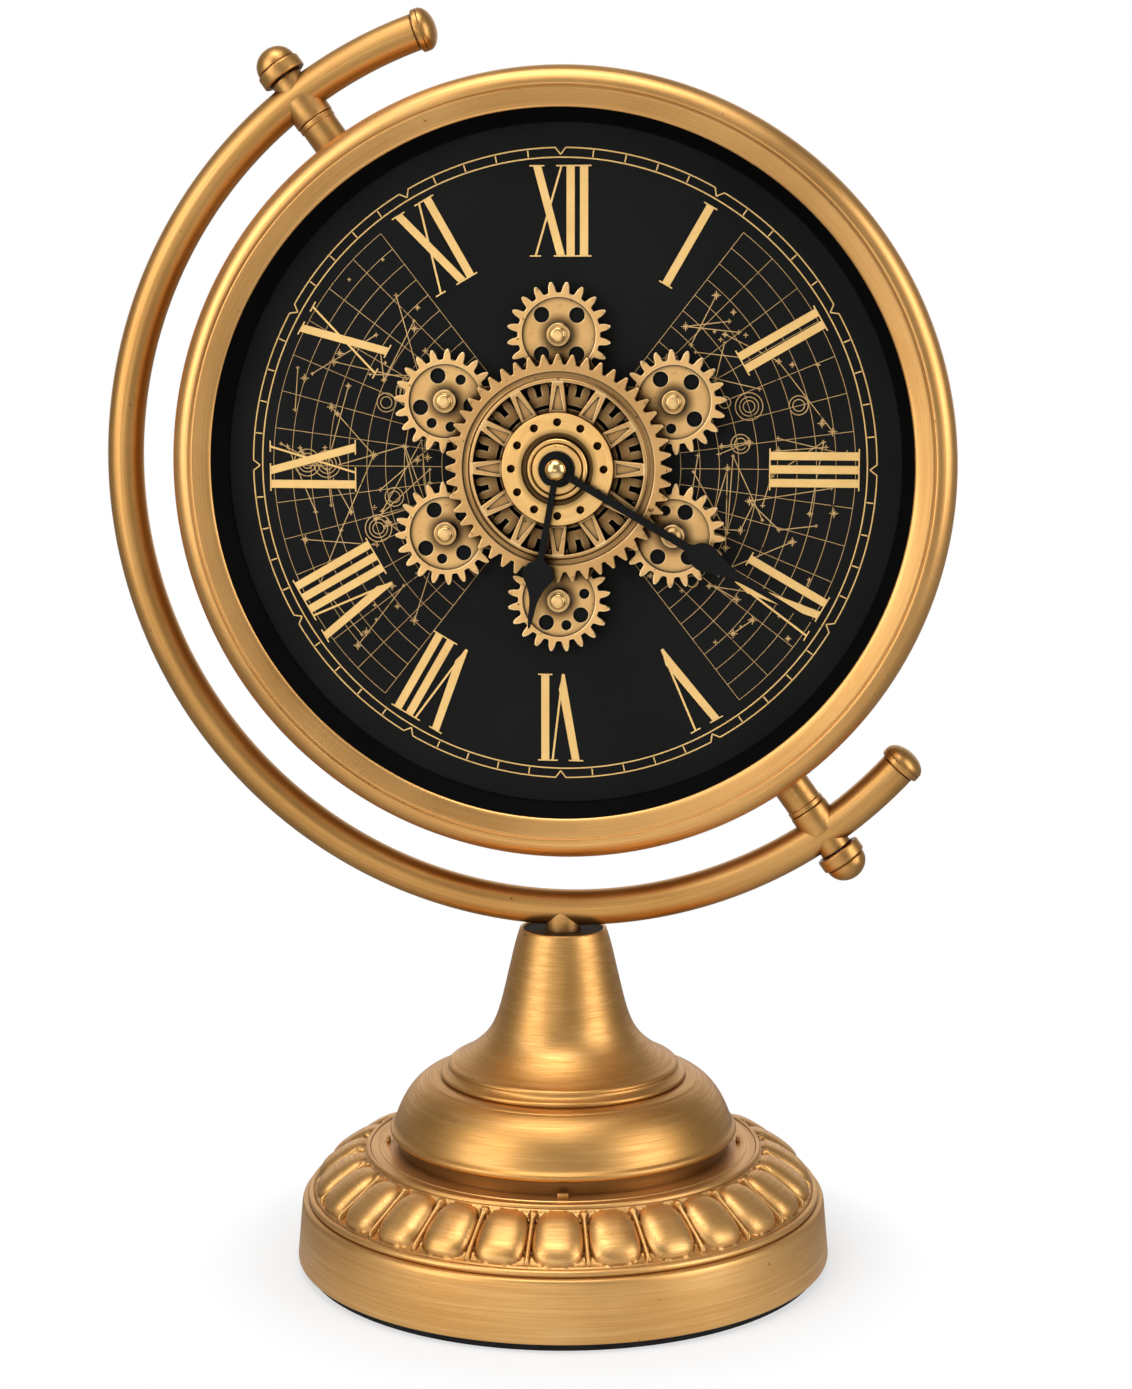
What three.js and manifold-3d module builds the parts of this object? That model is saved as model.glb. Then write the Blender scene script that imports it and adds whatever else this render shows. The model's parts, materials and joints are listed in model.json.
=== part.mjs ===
// Table clock: a round dial drum with a turning gear display, hung on a tilted axis in a C-shaped arm
// that stands on a gadrooned pedestal. Millimetres, +Z up, origin at the centre of the foot, dial facing -Y.
import * as THREE from "three";
import { mergeVertices } from "three/addons/utils/BufferGeometryUtils.js";
import Module from "manifold-3d";

const wasm = await Module();
wasm.setup();

// Fits
const seatGap = 0.3; // between faces that seat on each other
const runGap = 0.35; // radial, between a shaft and its bore
const boreGap = 0.3; // radial, between a fixed shank and its hole
const cutPast = 1; // how far a cut runs past the face it opens

// Facets round a turned piece
const wideSides = 36;
const middleSides = 24;
const smallSides = 16;
const tinySides = 12;

// Pedestal, from the table upwards
const footThickness = 3;
const footEase = 0.8;
const footInset = 3.1; // how far the foot stays inside the band
const bandRadius = 105.6;
const bandDraft = 2; // how much the band narrows towards its top
const bandHeight = 21.7;
const creaseDepth = 1.3; // groove between the band and the bead
const creaseHeight = 0.9;
const beadHeight = 6;
const beadInset = 0.5; // from the band's top edge to the bead's crown
const gadroonInset = 5; // from the band's foot to the foot of the lobes
const gadroonWidth = 22.3; // radial run of the lobes
const gadroonHeight = 14.2;
const gadroonRelief = 2.6;
const gadroonValley = 0.6; // depth of the grooves between the lobes
const valleyMargin = 0.3; // wall added behind the grooves
const gadroonCount = 27;
const gadroonPhase = THREE.MathUtils.degToRad(5); // a valley, from the front towards +X
const rimHeight = 1.6;
const rimWidth = 1.8;
const shelfDrop = 0.6; // shelf below the rim
const shelfLap = 8; // how far the shelf reaches in under the dome
const sheet = 1.5; // wall of the spun shells
const tabCount = 4;
const tabWidth = 4.2;
const tabHeight = 2.6;
const tabThickness = 1.4;
const domeRadius = 68.4;
const domeBandHeight = 6.9;
const domeHeight = 21.3; // above its band
const domeTopRadius = 49.5;
const domeLip = 0.6;
const neckInset = 1.5; // from the dome's top edge to the neck's foot
const neckLap = 5; // how far the dome's top reaches in under the neck
const neckHeight = 59;
const ridgeStep = 2.3; // height and setback of each of the two foot ridges of the neck
const ridgeEase = 0.7;
const flareHeight = 25.5;
const waistRadius = 26.2; // neck where the flare ends
const neckTopRadius = 17;
const plateRecess = 6; // neck's top plate below its rim
const plateThickness = 1.8;

// Base weight and tie rod
const weightInset = 2.1; // from the lobes' inner wall to the weight
const weightFloor = 12;
const weightRim = 6;
const rodRadius = 3;
const rodNutAcross = 10;
const rodNutHeight = 5;
const rodEndReach = 0.5; // rod past its nut
const rodGrip = 4; // rod inside the stem
const nutRecessGap = 3.2; // round the nut

// Arm and pivots
const tubeRadius = 7;
const tubeWall = 1.3;
const armGap = 16; // between the bezel and the tube
const armStart = THREE.MathUtils.degToRad(131.5); // clockwise from 12 o'clock
const armEnd = THREE.MathUtils.degToRad(341);
const axisTilt = THREE.MathUtils.degToRad(36); // pivot axis from the vertical
const neckGap = 1; // between the tube and the neck's rim
const stemRadius = 6.5;
const capRadius = 8.3;
const capLength = 6.6;
const capBand = 2.8; // straight part before the groove
const capGroove = 0.5;
const spigotLength = 8;
const spigotGap = 0.9; // radial, inside the curved tube
const studRadius = 2.5;
const studHeadRadius = 3.8;
const studHeadHeight = 3;
const sleeveRadius = 7.8;
const saddleHeight = 5;
const outerSaddleRadius = 6.4;
const outerSaddleHeight = 1.6;
const finialRadius = 8.9;
const collarHeight = 5.6;
const finialStep = 0.9; // from the collar to the dome on it
const finialDomeHeight = 7.1;
const studGrip = 5.4; // stud inside the finial

// Drum
const bezelRadius = 150;
const bezelWidth = 14.2;
const bezelSkirt = 6.7; // part of the width outside the case
const bezelFlange = 5.7; // thickness over the case's edge
const bezelClearance = 1; // between the bezel's skirt and the sleeves
const bezelOverhang = 0.8; // bezel's lip past the reflector
const bezelEase = 1.2; // rear edge of the skirt
const beadRun = 5.6; // radial run of the rounded outer bead
const bezelFaceRun = 2.8; // from the bead's crest to the crease
const bezelFaceFall = 0.9;
const bezelCreaseRun = 0.8;
const bezelCreaseFall = 0.7;
const lipHeight = 0.8;
const caseWall = 1.2;
const caseDepth = 20; // pivot plane to the rear edge
const ledgeClearance = 0.5; // between the ledge and the stud heads
const ledgeThickness = 1.3;
const ledgeLap = 6.5; // ledge under the dial
const dialThickness = 1.2;
const dialLap = 4.5; // dial under the reflector
const reflectorHeight = 7.6;
const reflectorSlope = 7.4;
const reflectorWall = 1;
const coverThickness = 1.5;
const coverInset = 0.5;
const lugCount = 3;
const lugLength = 8;
const lugWidth = 9;
const lugDepth = 6;
const lugScrewInset = 4.6; // screw from the case's inner wall
const screwRadius = 1.4;
const screwHeadRadius = 3;
const screwHeadHeight = 1.6;
const screwEase = 0.8;
const screwLength = 5.6;

// Gear display
const gearModule = 1.8;
const sunTeeth = 36;
const satelliteTeeth = 20;
const satelliteCount = 6;
const gearThickness = 2.8;
const pressureAngle = THREE.MathUtils.degToRad(20);
const addendum = 1; // tooth tip over the pitch circle, in modules
const dedendum = 1.25;
const backlash = 0.09; // taken off each flank, in modules
const faceRecess = 0.9;
const faceRim = 1.5; // from the tooth roots to the recess
const postRadius = 2.2;
const postFlange = 4;
const postCollar = 4.4;
const collarMargin = 0.6; // raised boss round the collar
const postCollarHeight = 1.5;
const postCap = 2.55;
const postCapHeight = 1.4;
const largeHole = 2.9;
const smallHole = 1.9;
const faceHoleRadius = 10; // places of the face holes
const sunSlots = 12;
const sunSlotInner = 23.5;
const sunSlotOuter = 28.4;
const sunSlotSpan = THREE.MathUtils.degToRad(17);
const frontTeeth = 48;
const frontModule = 1.73;
const frontGap = 0.5; // between the satellites and the front gear
const frontThickness = 2.4;
const frontSpokes = 12;
const windowInner = 22;
const windowOuter = 32.7;
const windowInnerWidth = 4.6;
const windowOuterWidth = 12.6;
const hubRadius = 21.3;
const hubDiscHeight = 1.5;
const hubRing = 13.5;
const hubRingHeight = 0.8;
const hubCrown = 10;
const hubCrownHeight = 0.7;

// Clockwork
const postThread = 4.2; // radius of the movement's fixed post
const postBack = 0.6; // post's end below the hub's crown
const movementNutAcross = 12;
const movementNutHeight = 2;
const hourTubeRadius = 2.5;
const minuteArborRadius = 1.4;
const trainModule = 0.5;
const cannonTeeth = 10;
const minuteTeeth = 30;
const minutePinionTeeth = 8;
const hourTeeth = 32;
const wheelThickness = 1.5;
const wheelGap = 0.5; // between the two wheel planes
const trainClearance = 0.8; // round the wheels
const minuteWheelAngle = THREE.MathUtils.degToRad(30); // from +X
const setShaftRadius = 1.2;
const knobRadius = 6;
const knobHeight = 4;
const knobEase = 0.7;
const movementWall = 1.8;
const movementTop = 28; // from the dial's centre to the upper edge
const handGap = 0.6; // between the hands and what they pass over
const handThickness = 0.6;
const hourLength = 60;
const hourSpadeFoot = 37; // from the hand's centre
const hourStem = 3.3;
const hourSpade = 12;
const hourHub = 6.9;
const minuteLength = 116;
const minuteSpadeFoot = 59;
const minuteStem = 3.6;
const minuteSpade = 10.6;
const minuteHub = 5.6;
const hourAngle = THREE.MathUtils.degToRad(190); // clockwise from 12 o'clock
const minuteAngle = THREE.MathUtils.degToRad(120);
const handNutRadius = 4;
const handNutHeight = 3.6;
const handNutBand = 1.1; // straight part under the dome
const handNutGrip = 2.2;

// Batteries and gear drive
const cellRadius = 7.1;
const cellLength = 48.5;
const nubRadius = 2.7;
const nubLength = 1.5;
const cellEndRoom = 1.2; // for the contact at each end
const cellSideRoom = 0.4;
const driveTeeth = 30;
const motorTeeth = 10;
const trayWall = 1.6;
const trayDepth = 9.5; // from the dial's ledge to the tray's rear
const driveClearance = 1; // round the drive wheel
const motorRadius = 11.5;
const motorDepth = 9;
const motorShaft = 1.2;
const holderOffset = 4; // between the movement and the battery holder
const holderWall = 1.6;
const podLength = 14; // switch housing at the holder's end
const switchTravel = 3;
const sliderWidth = 7.2;
const sliderLength = 6;
const sliderDepth = 2.6; // in its slot
const sliderReach = 2; // out of its slot
const accessMargin = 1.5; // cover's opening round the movement and the holder

// Levels of the pedestal
const footRadius = bandRadius - footInset;
const plinthBottom = footThickness + seatGap;
const bandTop = plinthBottom + bandHeight;
const bandTopRadius = bandRadius - bandDraft;
const gadroonFoot = bandTop + beadHeight;
const gadroonTop = gadroonFoot + gadroonHeight;
const gadroonFootRadius = bandRadius - gadroonInset;
const gadroonTopRadius = gadroonFootRadius - gadroonWidth;
const rimTop = gadroonTop + rimHeight;
const shelfHeight = rimTop - shelfDrop;
const domeBottom = shelfHeight + seatGap;
const domeShoulder = domeBottom + domeBandHeight;
const domeTop = domeShoulder + domeHeight;
const neckBottom = domeTop + seatGap;
const neckRadius = domeTopRadius - neckInset;
const neckTop = neckBottom + neckHeight;
const plateTop = neckTop - plateRecess;

// Places of the arm and the dial
const armRadius = bezelRadius + armGap + tubeRadius;
const dialHeight = neckTop + neckGap + tubeRadius + armRadius;
const upperPivot = -axisTilt; // clockwise from 12 o'clock
const lowerPivot = Math.PI - axisTilt;

// Levels of the drum, forwards from the pivot axis
const ledgeRear = studHeadRadius + ledgeClearance;
const ledgeFront = ledgeRear + ledgeThickness;
const dialRear = ledgeFront + seatGap;
const dialFront = dialRear + dialThickness;
const reflectorFoot = dialFront + seatGap;
const reflectorTop = reflectorFoot + reflectorHeight;
const bezelSeat = reflectorTop + seatGap;
const bezelCrest = bezelSeat + bezelFlange;
const bezelRear = sleeveRadius + bezelClearance;
const caseRadius = bezelRadius - bezelSkirt - seatGap;
const caseInner = caseRadius - caseWall;
const caseFront = bezelSeat - seatGap;
const bezelInner = bezelRadius - bezelWidth;
const reflectorTopRadius = bezelInner + bezelOverhang;
const reflectorFootRadius = reflectorTopRadius - reflectorSlope;
const dialRadius = reflectorFootRadius + dialLap;
const coverFront = -caseDepth - seatGap;
const coverRear = coverFront - coverThickness;

// Levels of the gears and hands
const movementFront = dialRear - seatGap;
const gearRear = dialFront + seatGap + movementNutHeight + seatGap;
const gearFront = gearRear + gearThickness;
const frontRear = gearFront + frontGap;
const frontFace = frontRear + frontThickness;
const hubTop = frontFace + hubDiscHeight + hubRingHeight + hubCrownHeight;
const hourRear = hubTop + handGap;
const hourFront = hourRear + handThickness;
const minuteRear = hourFront + handGap;
const minuteFront = minuteRear + handThickness;
const nutRear = minuteFront + seatGap;
const orbitRadius = (gearModule * (sunTeeth + satelliteTeeth)) / 2;

// Places inside the movement
const hourTipRadius = trainModule * (hourTeeth / 2 + addendum);
const trainBottom = -(hourTipRadius + trainClearance);
const bayHeight = 2 * (cellRadius + cellSideRoom);
const bayTop = trainBottom - movementWall;
const bayBottom = bayTop - bayHeight;
const movementBottom = bayBottom - movementWall;
const movementHalf = (cellLength + nubLength) / 2 + cellEndRoom + movementWall;
const movementDepth = 2 * cellRadius + movementWall + cellSideRoom;
const movementRear = movementFront - movementDepth;
const plateRear = movementFront - movementWall;
const hourWheelFront = plateRear - seatGap;
const hourWheelRear = hourWheelFront - wheelThickness;
const cannonFront = hourWheelRear - wheelGap;
const cannonRear = cannonFront - wheelThickness;
const trainDistance = (trainModule * (cannonTeeth + minuteTeeth)) / 2;
const setX = trainDistance * Math.cos(minuteWheelAngle);
const setY = trainDistance * Math.sin(minuteWheelAngle);
const lidFront = movementRear - seatGap;
const lidRear = lidFront - movementWall;

// Places of the gear drive
const driveRoom = orbitRadius + movementBottom - seatGap - trayWall - driveClearance;
const driveModule = driveRoom / (driveTeeth / 2 + addendum);
const driveDistance = (driveModule * (driveTeeth + motorTeeth)) / 2;
const trayHalf = driveRoom + driveClearance + trayWall;
const trayRight = driveDistance + motorRadius + trayWall;
const trayRear = movementFront - trayDepth;
const trayFloor = trayRear + trayWall;
const driveRear = trayFloor + seatGap;
const motorFront = trayRear - seatGap;

// Places of the battery holder
const holderLeft = movementHalf + holderOffset;
const holderInner = holderLeft + holderWall;
const cellPitch = 2 * (cellRadius + cellSideRoom);
const holderRight = holderInner + 2 * cellPitch + holderWall;
const holderCellFoot = movementBottom + holderWall;
const holderCellTop = holderCellFoot + cellLength + nubLength + 2 * cellEndRoom;
const holderTop = holderCellTop + holderWall + podLength;
const podMiddle = (holderLeft + holderRight) / 2;
const slotFoot = holderCellTop + holderWall;
const sliderFoot = slotFoot + seatGap;
const slotTop = sliderFoot + sliderLength + switchTravel + seatGap;

// Finishes
function finish(color, roughness, metalness) {
  return new THREE.MeshStandardMaterial({ color, roughness, metalness });
}
const gold = finish(0x94773f, 0.38, 1);
const brass = finish(0xb08d4c, 0.3, 1);
const steel = finish(0x8b8c8e, 0.4, 1);
const iron = finish(0x2f2e2c, 0.75, 0.6);
const black = finish(0x121212, 0.6, 0);
const felt = finish(0x0d0d0d, 0.95, 0);
const plastic = finish(0x1b1b1d, 0.5, 0);
const whitePlastic = finish(0xd8d4c8, 0.5, 0);
const cell = finish(0x2b3a55, 0.35, 0.3);

// Solids
function solid(geometry) {
  const bare = geometry.clone();
  bare.deleteAttribute("normal");
  bare.deleteAttribute("uv");
  const merged = mergeVertices(bare, 1e-4);
  const places = merged.attributes.position.array;
  const index = merged.index.array;
  const corner = (k) => new THREE.Vector3().fromArray(places, 3 * index[k]);
  const triangles = [];
  let volume = 0;
  for (let k = 0; k < index.length; k += 3) {
    const [a, b, c] = [index[k], index[k + 1], index[k + 2]];
    if (a === b || b === c || c === a) continue;
    triangles.push([a, b, c]);
    volume += corner(k).dot(corner(k + 1).cross(corner(k + 2)));
  }
  const facing = volume > 0 ? triangles : triangles.map(([a, b, c]) => [a, c, b]);
  return new wasm.Manifold(
    new wasm.Mesh({
      numProp: 3,
      vertProperties: new Float32Array(places),
      triVerts: new Uint32Array(facing.flat()),
    }),
  );
}

function join(first, ...others) {
  return others.reduce((whole, piece) => whole.add(solid(piece)), solid(first));
}

function cut(body, ...tools) {
  const start = body instanceof THREE.BufferGeometry ? solid(body) : body;
  return tools.reduce((rest, tool) => rest.subtract(solid(tool)), start);
}

function geometryOf(body) {
  const mesh = (body instanceof THREE.BufferGeometry ? solid(body) : body).getMesh();
  const geometry = new THREE.BufferGeometry();
  geometry.setAttribute("position", new THREE.BufferAttribute(mesh.vertProperties, 3));
  geometry.setIndex(new THREE.BufferAttribute(mesh.triVerts, 1));
  geometry.computeVertexNormals();
  return geometry;
}

// Shapes: a body turned about Z, its closed-ring form, a plate, a box and their outlines
function turned(profile, sides, start = 0) {
  const points = profile.map(([radius, height]) => new THREE.Vector2(radius, height));
  return new THREE.LatheGeometry(points, sides, start).rotateX(Math.PI / 2);
}

function turnedRing(profile, sides, start = 0) {
  return turned([...profile, profile[0]], sides, start);
}

// Points of a quarter ellipse, from its widest place up to its top
function quarterRound(radius, foot, run, rise, shares) {
  return shares.map((share) => {
    const angle = (share * Math.PI) / 2;
    return [radius - run * (1 - Math.cos(angle)), foot + rise * Math.sin(angle)];
  });
}

function rod(radius, bottom, top, sides) {
  return turned([[0, bottom], [radius, bottom], [radius, top], [0, top]], sides);
}

function circle(radius, sides, x = 0, y = 0, phase = 0) {
  return Array.from({ length: sides }, (_, k) => {
    const angle = phase + (k * 2 * Math.PI) / sides;
    return new THREE.Vector2(x + radius * Math.cos(angle), y + radius * Math.sin(angle));
  });
}

const bladeSteps = 5; // along each curve of a hand's outline
function plate(outline, holes, rear, thickness) {
  const shape = outline instanceof THREE.Shape ? outline : new THREE.Shape(outline);
  shape.holes.push(...holes.map((hole) => new THREE.Path(hole)));
  const geometry = new THREE.ExtrudeGeometry(shape, {
    depth: thickness,
    bevelEnabled: false,
    curveSegments: bladeSteps,
  });
  return geometry.translate(0, 0, rear);
}

function box(low, high) {
  const size = high.map((value, k) => value - low[k]);
  return new THREE.BoxGeometry(...size).translate(...high.map((value, k) => (value + low[k]) / 2));
}

function hexagon(across) {
  return circle(across / Math.sqrt(3), 6);
}

// Outline of a spur gear, with a tooth centred on the angle phase
function gearOutline(teeth, module, phase = 0) {
  const pitch = (teeth * module) / 2;
  const base = pitch * Math.cos(pressureAngle);
  const root = pitch - dedendum * module;
  const tip = pitch + addendum * module;
  const involute = (radius) => {
    const angle = Math.acos(Math.min(1, base / radius));
    return Math.tan(angle) - angle;
  };
  const atPitch = Math.PI / (2 * teeth) - (backlash * module) / pitch;
  const half = (radius) => atPitch + involute(pitch) - involute(Math.max(radius, base));
  const outline = [];
  for (let k = 0; k < teeth; k++) {
    const middle = phase + (k * 2 * Math.PI) / teeth;
    for (const [radius, side] of [[root, -1], [tip, -1], [tip, 1], [root, 1]]) {
      const angle = middle + side * half(radius);
      outline.push(new THREE.Vector2(radius * Math.cos(angle), radius * Math.sin(angle)));
    }
  }
  return outline;
}

// Phase of a gear that meshes with one at the angle direction from it, whose tooth phase is given
function meshPhase(direction, teeth, phase, ownTeeth) {
  const pitch = (2 * Math.PI) / teeth;
  const share = (direction - phase) / pitch;
  return direction + Math.PI + (share - 0.5) * ((2 * Math.PI) / ownTeeth);
}

// Places in the dial's plane, by the angle clockwise from 12 o'clock
function outward(angle) {
  return new THREE.Vector3(Math.sin(angle), Math.cos(angle), 0);
}

function clockwise(angle) {
  return new THREE.Vector3(Math.cos(angle), -Math.sin(angle), 0);
}

function alongAxis(geometry, axis, place = new THREE.Vector3()) {
  const inward = new THREE.Vector3(0, 0, -1);
  const side = inward.clone().cross(axis);
  const matrix = new THREE.Matrix4().makeBasis(side, inward, axis).setPosition(place);
  return geometry.applyMatrix4(matrix);
}

class ArmCurve extends THREE.Curve {
  constructor(start, end) {
    super();
    this.start = start;
    this.sweep = end - start;
  }

  getPoint(t) {
    return outward(this.start + t * this.sweep).multiplyScalar(armRadius);
  }
}

const tubeSides = 10;
const tubeSteps = 28;
function armSweep(radius, bore) {
  const shape = new THREE.Shape(circle(radius, tubeSides));
  if (bore) shape.holes.push(new THREE.Path(circle(bore, tubeSides)));
  return new THREE.ExtrudeGeometry(shape, {
    extrudePath: new ArmCurve(armStart, armEnd),
    steps: tubeSteps,
    bevelEnabled: false,
  });
}

// Scene graph
const clock = new THREE.Group();
const pedestal = new THREE.Group();
const arm = new THREE.Group();
const drum = new THREE.Group();
for (const upright of [arm, drum]) {
  upright.rotation.x = Math.PI / 2;
  upright.position.z = dialHeight;
}
clock.add(pedestal, arm, drum);

function add(group, name, material, body, place = [0, 0, 0]) {
  const mesh = new THREE.Mesh(geometryOf(body), material);
  mesh.name = name;
  mesh.position.set(...place);
  group.add(mesh);
  return mesh;
}

// Foot pad
add(pedestal, "foot_pad", felt, turned([
  [0, 0],
  [footRadius - footEase, 0],
  [footRadius, footEase],
  [footRadius, footThickness],
  [0, footThickness],
], wideSides));

// Plinth: band, bead, lobes, rim and shelf, with an inner wall and the tabs that hold the dome
function plinthShell() {
  const stepsPerLobe = 2;
  const fullness = 0.6; // below 1, so that a lobe swells early and stays full
  const slope = Math.hypot(gadroonWidth, gadroonHeight);
  const lobes = [0.2, 0.5, 0.8].map((share) => ({
    place: [gadroonFootRadius - share * gadroonWidth, gadroonFoot + share * gadroonHeight],
    relief: gadroonRelief * Math.sin(Math.PI * share) ** fullness,
  }));
  const below = [
    [bandRadius, plinthBottom],
    [bandTopRadius, bandTop],
    [bandTopRadius - creaseDepth, bandTop + creaseHeight],
    [bandTopRadius - beadInset, bandTop + beadHeight / 2],
    [gadroonFootRadius, gadroonFoot],
  ];
  const above = [
    [gadroonTopRadius, gadroonTop],
    [gadroonTopRadius - rimWidth, rimTop],
    [gadroonTopRadius - rimWidth - shelfDrop, shelfHeight],
    [domeRadius - shelfLap, shelfHeight],
    [domeRadius - shelfLap, shelfHeight - sheet],
    ...plinthInner,
  ];
  const profile = [...below, ...lobes.map(({ place }) => place), ...above];
  const segments = gadroonCount * stepsPerLobe;
  const geometry = turnedRing(profile, segments, gadroonPhase);
  const places = geometry.attributes.position;
  const perStep = profile.length + 1;
  for (let k = 0; k <= segments; k++) {
    const inLobe = (k % stepsPerLobe) / stepsPerLobe;
    const bulge = Math.sin(Math.PI * inLobe) ** fullness;
    lobes.forEach(({ relief }, j) => {
      const vertex = k * perStep + below.length + j;
      const lift = relief * bulge - gadroonValley * (1 - bulge);
      const spread = (lift * gadroonHeight) / slope;
      const radius = Math.hypot(places.getX(vertex), places.getY(vertex));
      places.setX(vertex, places.getX(vertex) * (1 + spread / radius));
      places.setY(vertex, places.getY(vertex) * (1 + spread / radius));
      places.setZ(vertex, places.getZ(vertex) + (lift * gadroonWidth) / slope);
    });
  }
  const tabs = Array.from({ length: tabCount }, (_, k) => {
    const near = domeRadius + seatGap;
    const tab = box(
      [-tabWidth / 2, near, shelfHeight - sheet / 2],
      [tabWidth / 2, near + tabThickness, shelfHeight + tabHeight],
    );
    return tab.rotateZ((k * 2 * Math.PI) / tabCount);
  });
  return join(geometry, ...tabs);
}
const lobeWall = sheet + gadroonValley + valleyMargin;
const plinthInner = [
  [gadroonTopRadius - lobeWall, gadroonTop - sheet],
  [gadroonFootRadius - lobeWall, gadroonFoot - sheet],
  [bandTopRadius - creaseDepth - sheet, bandTop],
  [bandRadius - sheet, plinthBottom],
];
add(pedestal, "plinth_shell", gold, plinthShell());

// Base weight, a cast cup whose rim seats under the lobes
const weightRadius = gadroonFootRadius - lobeWall - weightInset;
const weightShare = (weightRadius - plinthInner[1][0]) / (plinthInner[0][0] - plinthInner[1][0]);
const weightTop = plinthInner[1][1] + weightShare * (plinthInner[0][1] - plinthInner[1][1]) - seatGap;
const weightBottom = footThickness + seatGap;
const recessTop = weightBottom + rodEndReach + rodNutHeight + seatGap;
const recessRadius = rodNutAcross / Math.sqrt(3) + nutRecessGap;
const rodHole = rodRadius + boreGap;
add(pedestal, "base_weight", iron, turnedRing([
  [recessRadius, weightBottom],
  [weightRadius, weightBottom],
  [weightRadius, weightTop],
  [weightRadius - weightRim, weightTop],
  [weightRadius - weightRim, weightBottom + weightFloor],
  [rodHole, weightBottom + weightFloor],
  [rodHole, recessTop],
  [recessRadius, recessTop],
], middleSides));

// Pedestal dome
function domeCurve(drop) {
  const run = domeRadius - domeTopRadius;
  return quarterRound(domeRadius - drop, domeShoulder, run - drop, domeHeight - drop, [0, 0.3, 0.6, 1]);
}
const domeOpening = neckRadius - neckLap;
add(pedestal, "pedestal_dome", gold, turnedRing([
  [domeRadius, domeBottom],
  [domeRadius, domeShoulder - 2 * domeLip],
  [domeRadius + domeLip, domeShoulder - domeLip],
  ...domeCurve(0),
  [domeOpening, domeTop],
  [domeOpening, domeTop - sheet],
  ...domeCurve(sheet).reverse(),
  [domeRadius - sheet, domeBottom],
], wideSides));

// Neck: two foot ridges, a flare and a cone up to a recessed top plate
function flareCurve(drop) {
  const sweep = 2.2; // how fast the flare draws in
  const foot = neckRadius - 2 * ridgeStep;
  const flareFoot = neckBottom + 2 * ridgeStep;
  const flareTop = neckBottom + flareHeight;
  return [0, 0.2, 0.5, 1].map((t) => [
    waistRadius + (foot - waistRadius) * (1 - t) ** sweep - drop,
    flareFoot + (flareTop - flareFoot) * t,
  ]);
}
add(pedestal, "neck_cone", gold, turnedRing([
  [neckRadius, neckBottom],
  [neckRadius, neckBottom + ridgeStep - ridgeEase],
  [neckRadius - ridgeStep, neckBottom + ridgeStep],
  [neckRadius - ridgeStep, neckBottom + 2 * ridgeStep - ridgeEase],
  ...flareCurve(0),
  [neckTopRadius, neckTop],
  [neckTopRadius - sheet, neckTop],
  [neckTopRadius - sheet, plateTop],
  [rodHole, plateTop],
  [rodHole, plateTop - plateThickness],
  [neckTopRadius - sheet, plateTop - plateThickness],
  ...flareCurve(sheet).reverse(),
  [neckRadius - 2 * ridgeStep - sheet, neckBottom],
], middleSides));

// Tie rod and nut
const stemFoot = plateTop + seatGap;
add(pedestal, "tie_rod", steel, rod(rodRadius, weightBottom, stemFoot + rodGrip, smallSides));
add(pedestal, "tie_rod_nut", steel, plate(
  hexagon(rodNutAcross),
  [circle(rodHole, smallSides)],
  weightBottom + rodEndReach,
  rodNutHeight,
));

// Arm tube with its cross holes
const crossHole = studRadius + runGap;
function crossDrill(angle) {
  const drill = rod(crossHole, armRadius - 2 * tubeRadius, armRadius + 2 * tubeRadius, tinySides);
  return alongAxis(drill, outward(angle));
}
add(arm, "arm_tube", gold, cut(
  armSweep(tubeRadius, tubeRadius - tubeWall),
  crossDrill(upperPivot),
  crossDrill(lowerPivot),
));

// Room for the tube where a piece is shaped to it
const tubeRoom = armSweep(tubeRadius + seatGap, 0);

// Stem between the tube and the neck
const stemEnd = dialHeight - stemFoot;
add(arm, "arm_stem", gold, cut(
  alongAxis(turned([
    [0, armRadius],
    [stemRadius, armRadius],
    [stemRadius, stemEnd],
    [rodHole, stemEnd],
    [rodHole, stemEnd - rodGrip - seatGap],
    [0, stemEnd - rodGrip - seatGap],
  ], smallSides), outward(Math.PI)),
  tubeRoom,
));

// End caps of the arm
function endCap() {
  const spigot = tubeRadius - tubeWall - spigotGap;
  const domeFoot = capBand + capGroove;
  return turned([
    [0, -spigotLength],
    [spigot, -spigotLength],
    [spigot, seatGap],
    [capRadius, seatGap],
    [capRadius, capBand],
    [capRadius - capGroove, domeFoot],
    ...quarterRound(capRadius, domeFoot + capGroove, capRadius, capLength - domeFoot - capGroove, [0.2, 0.6]),
    [0, capLength],
  ], smallSides);
}
for (const [name, angle, way] of [["arm_cap_upper", armEnd, 1], ["arm_cap_lower", armStart, -1]]) {
  const place = outward(angle).multiplyScalar(armRadius);
  add(arm, name, gold, alongAxis(endCap(), clockwise(angle).multiplyScalar(way), place));
}

// Pivots: saddles on the arm, and sleeves, studs and finials on the drum
const sleeveFoot = caseRadius + seatGap;
const saddleFoot = armRadius - tubeRadius - saddleHeight;
const saddleTop = armRadius + tubeRadius + outerSaddleHeight;
const finialFoot = saddleTop + seatGap;
const finialMiddle = finialFoot + collarHeight;
const finialTop = finialMiddle + finialDomeHeight;
const finialDome = finialRadius - finialStep;

function tubeRing(radius, foot, top) {
  return turnedRing([[crossHole, foot], [radius, foot], [radius, top], [crossHole, top]], smallSides);
}

function stud() {
  const headTop = caseInner - seatGap;
  return turned([
    [0, headTop - studHeadHeight],
    [studHeadRadius, headTop - studHeadHeight],
    [studHeadRadius, headTop],
    [studRadius, headTop],
    [studRadius, finialFoot + studGrip],
    [0, finialFoot + studGrip],
  ], smallSides);
}

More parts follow.
